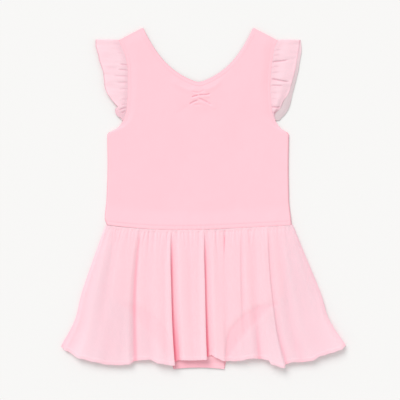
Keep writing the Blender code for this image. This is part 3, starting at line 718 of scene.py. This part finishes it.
def bodice_back_surface():
    across, down = steps((-1, -0.96, 9), (-0.96, 0.96, 81), (0.96, 1, 9)), steps((0, 1, 91))
    x, y = panel_points(BODICE_SIDES, waist_y, back_top_y, across, down)
    from_side = np.minimum(x[:, -1:] - x, x - x[:, :1])
    at_side = (1.0 - smooth(from_side / BACK_SIDE_RUN)) * (1.0 - past_underarm(y))
    z = BODICE_BACK_TOP - BACK_SINK + BACK_SIDE_RISE * at_side
    line_x = across[None, :] * SHOULDER_HALF
    neck = edge_distance(line_x, back_top_y(line_x) - y, back_top_y)
    on_neck = np.abs(across[None, :]) < NECK_HALF / SHOULDER_HALF
    z = z + np.where(on_neck, 0.5 * band_height(neck, NECK_BAND), 0.0)
    return stack(x, y, z)


def brief_surface(sides, top_z):
    """The grid of points of one brief panel, and the painted shade at each: the painted shadow of the
    skirt's hem on the crotch.
    """
    across = steps((-1, -0.8, 14), (-0.8, 0.8, 72), (0.8, 1, 14))
    down = steps((0, 0.5, 30), (0.5, 1, 110))
    x, y = panel_points(sides, below_seam, crotch_y, across, down)
    from_leg = np.minimum(x[:, -1:] - x, x - x[:, :1])
    z = top_z - CROTCH_DROP * smooth((CROTCH_DROP_Y - y) / CROTCH_DROP_RUN)
    leg = (y < LEG_START_Y) * hump(from_leg, LEG_PUCKER_REACH)
    z = z + LEG_PUCKER * leg * (np.sin(y / LEG_PUCKER_PITCH) - 1.0)
    z = z + ripple(BRIEF_SOFT, x, y)
    # Painted shadow of the skirt's hem: low on the crotch and towards the left.
    low = smooth((CROTCH_SHADE_Y - y) / CROTCH_SHADE_RUN)
    shaded = CROTCH_SHADE * low * smooth((CROTCH_SHADE_X - x) / CROTCH_SHADE_SIDE_RUN)
    return stack(x, y, z), shaded


def down_the_skirt(at_waist, halfway, at_hem, v):
    """A curve through three values: at the waist seam, halfway down and at the hem."""
    return at_waist * (1 - v) * (1 - 2 * v) + halfway * 4 * v * (1 - v) + at_hem * v * (2 * v - 1)


def side_flare(waist, v):
    """The skirt's sides draw in a little low down, and its corners flare out."""
    flare = SIDE_FLARE * smooth((v - 1.0 + SIDE_FLARE_RUN) / SIDE_FLARE_RUN)
    drawn_in = SIDE_DRAW_IN * hump(v - SIDE_DRAW_IN_AT, SIDE_DRAW_IN_REACH)
    return np.sign(waist) * (flare - drawn_in) * (np.abs(waist) / WAIST_HALF) ** SIDE_POWER


def all_gathers():
    """The noted gathers, and others between them at uneven distances."""
    gathers = list(NOTED_GATHERS)
    x, n = GATHERS_FROM, 0
    while x < GATHERS_TO:
        if all(abs(x - noted.x) > NOTED_GATHER_CLEAR for noted in NOTED_GATHERS):
            chance = noise.noise((n * 3.7, 0.3, 5.0))
            other = noise.noise((n * 2.9, 8.3, 1.0))
            depth = 0.42 + 0.5 * chance
            gathers.append(Gather(x, depth, 1.25 + 0.3 * other, 15 + 16 * abs(other), 6.0 * other))
        x += GATHER_PITCH + GATHER_PITCH_SPREAD * noise.noise((n * 5.1, 2.2, 9.0))
        n += 1
    return gathers


def skirt_front_surface():
    """The grid of points of the skirt's front with its turned hem, and the painted shade at each:
    deeper in folds, over the leg opening and among the gathers below the seam.
    """
    left, right, t = [], [], []
    for a, b in zip(SKIRT_FOLDS, SKIRT_FOLDS[1:]):
        count = max(9, round((b.middle_x - a.middle_x) * MM / COLUMN_PITCH))
        left += [a] * count
        right += [b] * count
        t += [i / count for i in range(count)]
    left, right, t = np.array(left), np.array(right), np.array(t)[None, :]
    waist = blend(left[:, 0], right[:, 0], t) * MM
    v = steps((0, 0.03, 8), (0.03, 0.30, 34), (0.30, 0.96, 36), (0.96, 1.0, 14))[:, None]
    ease = smooth(t)
    first = down_the_skirt(left[:, 0], left[:, 1], left[:, 2], v)
    second = down_the_skirt(right[:, 0], right[:, 1], right[:, 2], v)
    doubled = left[:, 6] * smooth(v / 0.5) * np.sin(2 * np.pi * t)
    x = (blend(first, second, t) + doubled) * MM
    x = x + side_flare(waist, v)
    hem_y = blend(left[:, 3], right[:, 3], ease) * MM
    y = blend(below_seam(waist), hem_y, v)
    middle_z = blend(left[:, 4], right[:, 4], ease)
    hem_z = blend(left[:, 5], right[:, 5], ease)
    rest = blend(middle_z, hem_z, smooth(2 * v - 1)) * MM
    from_edge = np.minimum(waist - waist[0, 0], waist[0, -1] - waist)
    edge = smooth(from_edge / SKIRT_EDGE_RUN)
    at_seam = smooth(from_edge / SEAM_EDGE_RUN)
    puff = 1.0 - np.exp(-v / PUFF_FADE)
    seam = blend(rest, SKIRT_SEAM_TOP, at_seam)
    z = blend(seam, rest, puff)
    started = smooth((v - GATHER_START) / GATHER_START_RUN)
    for g in all_gathers():
        along = SKIRT_LENGTH * v / (g.length * MM)
        fade = np.exp(-np.square(along)) * started
        line = (g.x + g.drift * np.minimum(along, 2.0)) * MM
        z = z - GATHER_DEPTH * g.depth * MM * edge * fade * hump(waist - line, g.width * MM)
    hollow = over_leg_opening(x, y)
    # Painted shade: deeper in folds, over the leg opening and among the gathers below the seam.
    gathered = SEAM_SHADE * np.exp(-v / SEAM_SHADE_FADE)
    depth = np.minimum(painted_fold_shade(x, z, v) + LEG_SHADE * hollow + gathered, 1.0)
    z = z - LEG_HOLLOW * hollow + HEM_STEP * smooth((v - HEM_STEP_FROM) / HEM_STEP_RUN)
    z = z + edge * smooth(v / 0.2) * ripple(SKIRT_SOFT, waist, v)
    z = z + edge * np.exp(-np.square(v / 0.35)) * ripple(SKIRT_SEAM, waist, v)
    y = y + smooth((v - 0.9) / 0.1) * ripple(SKIRT_HEM, waist, 0.0 * v)
    surface = turn_hem(stack(x, y, z))
    # The turned hem's rows take the painted shade of the hem's edge.
    turned = np.repeat(depth[-1:], len(surface) - len(depth), axis=0)
    return surface, np.concatenate([depth, turned])


def painted_fold_shade(x, z, v):
    """Painted shade from 0 to 1 at each point: the further it lies below the cloth beside it, the
    darker, as shade falls in folds.
    """
    pitch = np.gradient(x, axis=1).mean()
    reach = int(round(3 * FOLD_SPAN / pitch))
    weights = hump(np.arange(-reach, reach + 1) * pitch, FOLD_SPAN)
    padded = np.pad(z, ((0, 0), (reach, reach)), mode="edge")
    around = np.array([np.convolve(row, weights / weights.sum(), mode="valid") for row in padded])
    below = around - z
    soft = SOFT_SHADE * smooth((below + SOFT_SHADE_RUN) / (2.0 * SOFT_SHADE_RUN))
    deep = smooth((below - FOLD_SHADE_FROM) / FOLD_SHADE_RUN)
    return blend(soft, 1.0, deep) * smooth(v / 0.08)


def over_leg_opening(x, y):
    """1 where the front brief stops short of the back brief beneath the skirt, with soft edges."""
    front = reach_at(BRIEF_FRONT_SIDES, y, x)
    back = reach_at(BRIEF_BACK_SIDES, y, x)
    out = np.abs(x)
    past_back = smooth((out - back + LEG_BACK_INSET) / LEG_BACK_RUN)
    inside = smooth((out - front) / LEG_EDGE_RUN) * (1.0 - past_back)
    return inside * np.where(x > 0, 1.0, 0.5) * smooth((LEG_OPENING_Y - y) / LEG_OPENING_RUN)


def turn_hem(surface):
    """Adds the hem's turning, which goes round under the edge and back up for HEM_WIDTH."""
    rows = [surface]
    last = surface[-1]
    inward = surface[HEM_INWARD_ROW] - last
    inward = inward / np.linalg.norm(inward, axis=1, keepdims=True)
    down = np.array((0.0, 0.0, -1.0))
    for shift, drop in HEM_TURN:
        rows.append((last + inward * shift + down * drop)[None])
    return np.concatenate(rows)


def skirt_back_surface():
    first, last = SKIRT_FOLDS[0], SKIRT_FOLDS[-1]
    q, v = steps((-1, 1, 241))[None, :], steps((0, 1, 40))[:, None]
    along = 0.5 * (q + 1.0)
    left = down_the_skirt(first.waist_x, first.middle_x, first.hem_x, v) * MM
    right = down_the_skirt(last.waist_x, last.middle_x, last.hem_x, v) * MM
    waist_x = blend(first.waist_x, last.waist_x, along) * MM
    x = blend(left, right, along) + side_flare(waist_x, v)
    y = blend(below_seam(waist_x), blend(BACK_HEM_Y, BACK_HEM_SIDE_Y, q * q), v)
    ends = smooth((1.0 - np.abs(q)) / BACK_EDGE_SHARE)
    rise = 0.5 - 0.5 * np.cos(2 * np.pi * BACK_GATHERS * along)
    wave = BACK_WAVE * ends * rise * (1.0 - 0.5 * v)
    fine = BACK_FINE * ends * (1.0 + ripple(SKIRT_BACK_FINE, waist_x, v)) * (1.0 - 0.6 * v)
    return stack(x, y, BACK_SKIRT_TOP + wave + fine)


def armhole_seam_x(y, side):
    """The flutter's seamed edge, flush with the bodice's."""
    return reach_at(BODICE_SIDES, y, side) + SEAM_GAP


def back_layer_height(x, y, side):
    """Height of the back layer's upper face: flat under the front layer, domed near its edge."""
    from_edge = reach_at(FLUTTER_BACK_EDGES, y, side) - side * x
    falls = smooth((from_edge - BACK_DOME_RISE) / BACK_DOME_FALL)
    dome = smooth(from_edge / BACK_DOME_RISE) * (1.0 - falls)
    tapered = smooth((SHOULDER_Y - y) / BACK_DOME_TOP_RUN)
    tapered = tapered * smooth((y - FLUTTER_END_Y) / BACK_DOME_END_RUN)
    share = 1.0 if side > 0 else BACK_DOME_LEFT_SHARE
    return FLUTTER_BACK_TOP - CHIFFON + BACK_DOME * dome * tapered * share


def flutter_surface(side, creases):
    """A gathered strip: the front half from its lower end, the fold over the shoulder, the back half.

    Returns the grid of points and the painted shade at each of them."""
    b = steps((0, 0.2, 10), (0.2, 0.80, 16), (0.80, 1.0, 12))[None, :]
    right = side > 0
    edge_fall = EDGE_FALL_RIGHT if right else EDGE_FALL_LEFT
    edge_sink = RIGHT_EDGE_SINK if right else 0.0
    hem_shade = FLUTTER_HEM_SHADE_RIGHT if right else FLUTTER_HEM_SHADE_LEFT

    def front(y):
        seam_x, edge_x = armhole_seam_x(y, side), reach_at(FLUTTER_EDGES, y, side)
        x = side * blend(seam_x, edge_x, b)
        y = y + 0.0 * b
        down = (SHOULDER_Y - y) / (SHOULDER_Y - FLUTTER_END_Y)
        ends = smooth(down / END_TAPER) * smooth((1.0 - down) / END_TAPER)
        from_seam = b * (edge_x - seam_x)
        out = smooth(from_seam / FLUTTER_SEAM_RUN)
        laid = 1.0 - edge_fall * smooth((b - EDGE_FALL_FROM) / (1.0 - EDGE_FALL_FROM))
        lift = blend(LIFT_TOP, LIFT_LOW, smooth(down / 0.7)) * smooth((1.0 - down) / 0.2)
        z = FLUTTER_SEAM_TOP + (FLUTTER_SEAM_RISE * out + lift * b ** 1.2) * laid
        z = z - edge_sink * smooth((b - 0.5) / 0.5) * ends
        creased = crease_height(x, y, creases)
        z = z + CREASE_SHARE * ends * out * creased
        z = z + ends * out * ripple(FLUTTER_GATHERS, y, b, side) * (1.0 - 0.55 * b)
        z = z + ends * b * ripple(FLUTTER_WAVES, y, b, side)
        z = np.maximum(z, back_layer_height(x, y, side) + 2.0 * CHIFFON)
        x = x + side * ends * b * ripple(FLUTTER_EDGE, y, 0.0 * b, side)
        # Painted shade: near the gathered seam, at the tucked lower end, along the rolled hem and in
        # creases, with patches of tone that differ at random.
        gathered = GATHERED_SHADE * (1.0 - smooth(from_seam / GATHERED_RUN))
        painted_tuck_shade = TUCKED_SHADE * smooth((down - TUCKED_FROM) / TUCKED_RUN)
        hem = hem_shade * smooth((b - FLUTTER_HEM_FROM) / FLUTTER_HEM_RUN)
        painted_crease_shade = FLUTTER_CREASE_SHADE * smooth(-creased / FLUTTER_CREASE_DEPTH) * ends
        patchy = ripple(FLUTTER_PATCHES, y, b, side)
        shade = np.maximum(gathered, painted_tuck_shade) + hem + painted_crease_shade + patchy
        return stack(x, y, z), np.clip(shade, 0.0, 1.0)

    surface, shade = front(np.linspace(FLUTTER_END_Y, SHOULDER_Y, 260)[:, None])
    rows, shades = [surface], [shade]
    top_row, top_shade = front(np.array([[SHOULDER_Y]]))
    spread_back = side * b * (
        reach_at(FLUTTER_BACK_EDGES, SHOULDER_Y, side) - reach_at(FLUTTER_EDGES, SHOULDER_Y, side)
    )
    radius = 0.5 * (top_row[..., 2] - FLUTTER_BACK_TOP + CHIFFON)
    for i in range(1, SHOULDER_TURNS):
        turn = math.pi * i / SHOULDER_TURNS
        bent = top_row.copy()
        bent[..., 0] += spread_back * i / SHOULDER_TURNS
        bent[..., 1] = SHOULDER_Y + radius * math.sin(turn)
        bent[..., 2] = top_row[..., 2] - radius * (1.0 - math.cos(turn))
        rows.append(bent)
        shades.append(top_shade)
    y = np.linspace(SHOULDER_Y, FLUTTER_END_Y, 90)[:, None]
    x = side * blend(armhole_seam_x(y, side), reach_at(FLUTTER_BACK_EDGES, y, side), b)
    rows.append(stack(x, y + 0.0 * b, back_layer_height(x, y, side)))
    # Painted shade on the back layer, deeper along its hem; on the right, a painted grey where the
    # front layer shades it.
    back_hem = BACK_HEM_SHADE * smooth((b - BACK_HEM_FROM) / BACK_HEM_RUN)
    back_shade = np.clip(BACK_SHADE + back_hem + 0.0 * y, 0.0, 1.0)
    if right:
        down = (SHOULDER_Y - y) / (SHOULDER_Y - FLUTTER_END_Y)
        past_front = x - reach_at(FLUTTER_EDGES, y, side) + PAST_FRONT_RUN
        painted_grey = -blend(SHADED_TOP, SHADED_LOW, smooth((down - END_TAPER) / SHADED_RUN))
        back_shade = blend(back_shade, painted_grey, smooth(past_front / PAST_FRONT_RUN))
    shades.append(back_shade)
    return np.concatenate(rows), np.concatenate(shades)


def fabric(name, colour, deep, painted_shade_colour, bump_scale, bump, sheen, through_share, clear_share):
    """Cloth: two close tones in soft patches, a painted shade colour in folds, creases and along rims,
    a painted grey where a sheer layer lies in another's shade, a fine weave, and the light that comes
    through."""
    material = bpy.data.materials.new(name)
    material.use_nodes = True
    tree = material.node_tree
    nodes, links = tree.nodes, tree.links
    shader = nodes["Principled BSDF"]
    output = nodes["Material Output"]
    place_node = nodes.new("ShaderNodeTexCoord")
    patches = nodes.new("ShaderNodeTexNoise")
    patches.inputs["Scale"].default_value = PATCH_SCALE
    patches.inputs["Detail"].default_value = PATCH_DETAIL
    shades = nodes.new("ShaderNodeMix")
    shades.data_type = "RGBA"
    shades.inputs["A"].default_value = colour
    shades.inputs["B"].default_value = deep
    links.new(place_node.outputs["Object"], patches.inputs["Vector"])
    links.new(patches.outputs["Fac"], shades.inputs["Factor"])
    # Painted shade: the mesh attribute darkens the colour towards the painted shade colour.
    painted_fold_shade = nodes.new("ShaderNodeAttribute")
    painted_fold_shade.attribute_name = FOLD_SHADE
    painted_shade_mix = nodes.new("ShaderNodeMix")
    painted_shade_mix.data_type = "RGBA"
    painted_shade_mix.inputs["B"].default_value = painted_shade_colour
    links.new(painted_fold_shade.outputs["Fac"], painted_shade_mix.inputs["Factor"])
    links.new(shades.outputs["Result"], painted_shade_mix.inputs["A"])
    # Painted shade: where the attribute is below 0, a painted grey for a layer in another's shade.
    painted_shade_share = nodes.new("ShaderNodeMath")
    painted_shade_share.operation = "MULTIPLY"
    painted_shade_share.use_clamp = True
    painted_shade_share.inputs[1].default_value = -1.0
    links.new(painted_fold_shade.outputs["Fac"], painted_shade_share.inputs[0])
    painted_grey = nodes.new("ShaderNodeMix")
    painted_grey.data_type = "RGBA"
    painted_grey.inputs["B"].default_value = SHADED_COLOUR
    links.new(painted_shade_share.outputs["Value"], painted_grey.inputs["Factor"])
    links.new(painted_shade_mix.outputs["Result"], painted_grey.inputs["A"])
    cloth_colour = painted_grey.outputs["Result"]
    links.new(cloth_colour, shader.inputs["Base Color"])
    height = weave_height(nodes, links, place_node, bump_scale)
    relief = nodes.new("ShaderNodeBump")
    relief.inputs["Strength"].default_value = bump
    relief.inputs["Distance"].default_value = WEAVE_DEPTH
    links.new(height, relief.inputs["Height"])
    links.new(relief.outputs["Normal"], shader.inputs["Normal"])
    shader.inputs["Roughness"].default_value = CLOTH_ROUGHNESS
    shader.inputs["Specular IOR Level"].default_value = CLOTH_SPECULAR
    shader.inputs["Sheen Weight"].default_value = sheen
    shader.inputs["Sheen Roughness"].default_value = SHEEN_ROUGHNESS
    shader.inputs["Sheen Tint"].default_value = SHEEN_TINT
    surface = shader.outputs["BSDF"]
    if through_share:
        light = nodes.new("ShaderNodeBsdfTranslucent")
        links.new(cloth_colour, light.inputs["Color"])
        surface = mixed(nodes, links, surface, light.outputs["BSDF"], through_share)
    if clear_share:
        clear = nodes.new("ShaderNodeBsdfTransparent")
        clear.inputs["Color"].default_value = CLEAR_TINT
        surface = mixed(nodes, links, surface, clear.outputs["BSDF"], clear_share)
    links.new(surface, output.inputs["Surface"])
    return material


def mixed(nodes, links, first, second, share):
    mix = nodes.new("ShaderNodeMixShader")
    mix.inputs["Fac"].default_value = share
    links.new(first, mix.inputs[1])
    links.new(second, mix.inputs[2])
    return mix.outputs["Shader"]


def weave_height(nodes, links, place_node, scale):
    """Crossing threads: the product of two wave textures."""
    heights = []
    for direction in ("X", "Y"):
        wave = nodes.new("ShaderNodeTexWave")
        wave.bands_direction = direction
        wave.inputs["Scale"].default_value = scale
        wave.inputs["Distortion"].default_value = WEAVE_WOBBLE
        links.new(place_node.outputs["Object"], wave.inputs["Vector"])
        heights.append(wave.outputs["Fac"])
    product = nodes.new("ShaderNodeMath")
    product.operation = "MULTIPLY"
    links.new(heights[0], product.inputs[0])
    links.new(heights[1], product.inputs[1])
    return product.outputs["Value"]


def stitch_row(name, path, carrier, material):
    """Short raised threads along a path of (x, y), lying on the carrier's surface."""
    carrier_mesh = carrier.data
    tree = BVHTree.FromPolygons(
        [v.co for v in carrier_mesh.vertices],
        [tuple(p.vertices) for p in carrier_mesh.polygons],
    )
    points = [Vector(place(np.array((x, y, 0.0)))) for x, y in path]
    lengths = [0.0]
    for a, b in zip(points, points[1:]):
        lengths.append(lengths[-1] + (b - a).length)
    xs, ys = [p.x for p in points], [p.y for p in points]
    verts, faces = [], []
    at = 0.5 * STITCH_GAP
    while at + STITCH_LENGTH < lengths[-1]:
        ends = []
        for place_at in (at, at + 0.5 * STITCH_LENGTH, at + STITCH_LENGTH):
            x, y = np.interp(place_at, lengths, xs), np.interp(place_at, lengths, ys)
            hit = tree.ray_cast(Vector((x, y, RAY_FROM_Z)), Vector((0, 0, -1)))[0]
            if hit is not None:
                ends.append(hit)
        if len(ends) == 3:
            add_thread(verts, faces, ends)
        at += STITCH_LENGTH + STITCH_GAP
    mesh = bpy.data.meshes.new(name)
    mesh.from_pydata(verts, [], faces)
    mesh.shade_smooth()
    mesh.materials.append(material)
    piece = bpy.data.objects.new(name, mesh)
    bpy.context.scene.collection.objects.link(piece)
    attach(piece, "root")
    return piece


def neck_line():
    """Where the neckline's stitching runs, NECK_BAND below the edge."""
    x = np.linspace(-NECK_THREAD_SHARE * NECK_HALF, NECK_THREAD_SHARE * NECK_HALF, 200)
    slope = np.gradient(front_top_y(x), x)
    length = np.hypot(1.0, slope)
    return np.stack([x + NECK_BAND * slope / length, front_top_y(x) - NECK_BAND / length], axis=1)


def waist_line():
    """Where the line of stitching above the waist seam runs."""
    x = np.linspace(SEAM_END - BODICE_SIDES[0].left, BODICE_SIDES[0].right - SEAM_END, 200)
    return np.stack([x, waist_y(x) + WAIST_STITCH], axis=1)


def armhole_line(side):
    y = np.linspace(ARMHOLE_THREAD_Y, SHOULDER_Y - ARMHOLE_THREAD_END, 160)
    return np.stack([side * (reach_at(BODICE_SIDES, y, side) - ARMHOLE_STITCH), y], axis=1)


def add_thread(verts, faces, ends):
    """One stitch: a closed spindle that dips at both ends."""
    sides = THREAD_SIDES
    run = (ends[2] - ends[0]).normalized()
    across = run.cross(Vector((0, 0, 1))).normalized()
    up = across.cross(run)
    base = len(verts)
    verts.append(ends[0] - up * (0.6 * THREAD_RADIUS))
    for spot, size, lift in (
        (ends[0].lerp(ends[1], 0.25), 0.75, 0.3),
        (ends[1], 1.0, 0.7),
        (ends[1].lerp(ends[2], 0.75), 0.75, 0.3),
    ):
        for k in range(sides):
            angle = 2 * math.pi * k / sides
            ring = across * math.cos(angle) + up * math.sin(angle)
            verts.append(spot + ring * (size * THREAD_RADIUS) + up * (lift * THREAD_RADIUS))
    verts.append(ends[2] - up * (0.6 * THREAD_RADIUS))
    for k in range(sides):
        j = (k + 1) % sides
        faces.append((base, base + 1 + j, base + 1 + k))
        for ring in range(2):
            a = base + 1 + ring * sides
            faces.append((a + k, a + j, a + sides + j, a + sides + k))
        faces.append((base + 1 + 2 * sides + k, base + 1 + 2 * sides + j, base + 1 + 3 * sides))


def add_camera():
    data = bpy.data.cameras.new("camera")
    data.lens = LENS_MM
    data.sensor_width = SENSOR_MM
    camera = bpy.data.objects.new("camera", data)
    camera.location = (*AIM, PHOTO_SPAN * LENS_MM / SENSOR_MM)
    bpy.context.scene.collection.objects.link(camera)
    bpy.context.scene.camera = camera


def add_key():
    """A distant light as wide as a large soft box, so that the table is evenly lit."""
    data = bpy.data.lights.new("key", "SUN")
    data.energy = KEY_STRENGTH
    data.angle = math.radians(KEY_WIDTH_DEGREES)
    light = bpy.data.objects.new("key", data)
    light.location = KEY_FROM
    light.rotation_euler = (-Vector(KEY_FROM)).to_track_quat("-Z", "Y").to_euler()
    bpy.context.scene.collection.objects.link(light)


def add_studio():
    """A pale table, one broad soft light from the upper left and an even white surround."""
    table = bpy.data.meshes.new("table")
    half = TABLE_HALF
    corners = [(-half, -half, 0), (half, -half, 0), (half, half, 0), (-half, half, 0)]
    table.from_pydata(corners, [], [(0, 1, 2, 3)])
    material = bpy.data.materials.new("table")
    material.use_nodes = True
    shader = material.node_tree.nodes["Principled BSDF"]
    shader.inputs["Base Color"].default_value = TABLE_COLOUR
    shader.inputs["Roughness"].default_value = TABLE_ROUGHNESS
    shader.inputs["Specular IOR Level"].default_value = 0.0
    table.materials.append(material)
    floor = bpy.data.objects.new("table", table)
    floor.location = (0.0, 0.0, -TABLE_DROP)
    bpy.context.scene.collection.objects.link(floor)
    add_key()
    world = bpy.data.worlds.new("surround")
    world.use_nodes = True
    background = world.node_tree.nodes["Background"]
    background.inputs["Color"].default_value = (1.0, 1.0, 1.0, 1.0)
    background.inputs["Strength"].default_value = SURROUND_STRENGTH
    bpy.context.scene.world = world
    bpy.context.scene.view_settings.view_transform = "Standard"
    bpy.context.scene.cycles.max_bounces = LIGHT_BOUNCES
    bpy.context.scene.cycles.diffuse_bounces = DIFFUSE_BOUNCES
    bpy.context.scene.cycles.transparent_max_bounces = LIGHT_BOUNCES


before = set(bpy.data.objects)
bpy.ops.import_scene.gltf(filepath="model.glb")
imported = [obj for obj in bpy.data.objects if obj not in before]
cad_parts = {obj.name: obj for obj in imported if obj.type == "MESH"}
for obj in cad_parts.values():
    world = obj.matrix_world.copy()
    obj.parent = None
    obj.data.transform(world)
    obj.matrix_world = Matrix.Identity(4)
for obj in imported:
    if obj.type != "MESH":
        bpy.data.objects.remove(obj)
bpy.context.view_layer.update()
bodice_low, bodice_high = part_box("bodice_front")
ORIGIN = np.array((bodice_high.x - BODICE_SIDES[0].right, bodice_high.y - NECK_END_Y, 0.0))

jersey = fabric(
    "jersey", colour=(0.975, 0.563, 0.627, 1.0), deep=(0.97, 0.543, 0.607, 1.0),
    painted_shade_colour=(0.80, 0.34, 0.43, 1.0), bump_scale=420.0, bump=0.35, sheen=0.15,
    through_share=0.0, clear_share=0.0,
)
chiffon = fabric(
    "chiffon", colour=(1.0, 0.835, 0.885, 1.0), deep=(1.0, 0.815, 0.865, 1.0),
    painted_shade_colour=(1.0, 0.37, 0.50, 1.0), bump_scale=620.0, bump=0.25, sheen=0.05,
    through_share=0.27, clear_share=0.15,
)
chiffon_ruffle = fabric(
    "chiffon_ruffle", colour=(1.0, 0.775, 0.83, 1.0), deep=(1.0, 0.755, 0.815, 1.0),
    painted_shade_colour=(0.84, 0.48, 0.56, 1.0), bump_scale=620.0, bump=0.25, sheen=0.05,
    through_share=0.16, clear_share=0.08,
)

bodice_back = cloth_piece("back_bodice_cloth", bodice_back_surface(), JERSEY, jersey, "bodice_back")
skirt_back = cloth_piece("back_skirt_cloth", skirt_back_surface(), CHIFFON, chiffon, "skirt_back")
points, shade = brief_surface(BRIEF_BACK_SIDES, BRIEF_BACK_TOP)
brief_back = cloth_piece("back_brief_cloth", points, JERSEY, jersey, "brief_back", shade)
points, shade = brief_surface(BRIEF_FRONT_SIDES, BRIEF_FRONT_TOP)
brief_front = cloth_piece("front_brief_cloth", points, JERSEY, jersey, "brief_front", shade)
points, shade = skirt_front_surface()
skirt_front = cloth_piece("front_skirt_cloth", points, CHIFFON, chiffon, "skirt_front", shade)
points, shade = bodice_front_surface()
bodice_front = cloth_piece("front_bodice_cloth", points, JERSEY, jersey, "bodice_front", shade)
points, shade = flutter_surface(-1.0, LEFT_FLUTTER_CREASES)
flutter_left = cloth_piece(
    "left_flutter_cloth", points, CHIFFON, chiffon_ruffle, "flutter_left", shade
)
points, shade = flutter_surface(1.0, RIGHT_FLUTTER_CREASES)
flutter_right = cloth_piece(
    "right_flutter_cloth", points, CHIFFON, chiffon_ruffle, "flutter_right", shade
)

thread_lines = {
    "neck_stitching": neck_line(),
    "waist_stitching": waist_line(),
    "left_armhole_stitching": armhole_line(-1.0),
    "right_armhole_stitching": armhole_line(1.0),
}
stitching = [stitch_row(name, line, bodice_front, jersey) for name, line in thread_lines.items()]

add_camera()
add_studio()
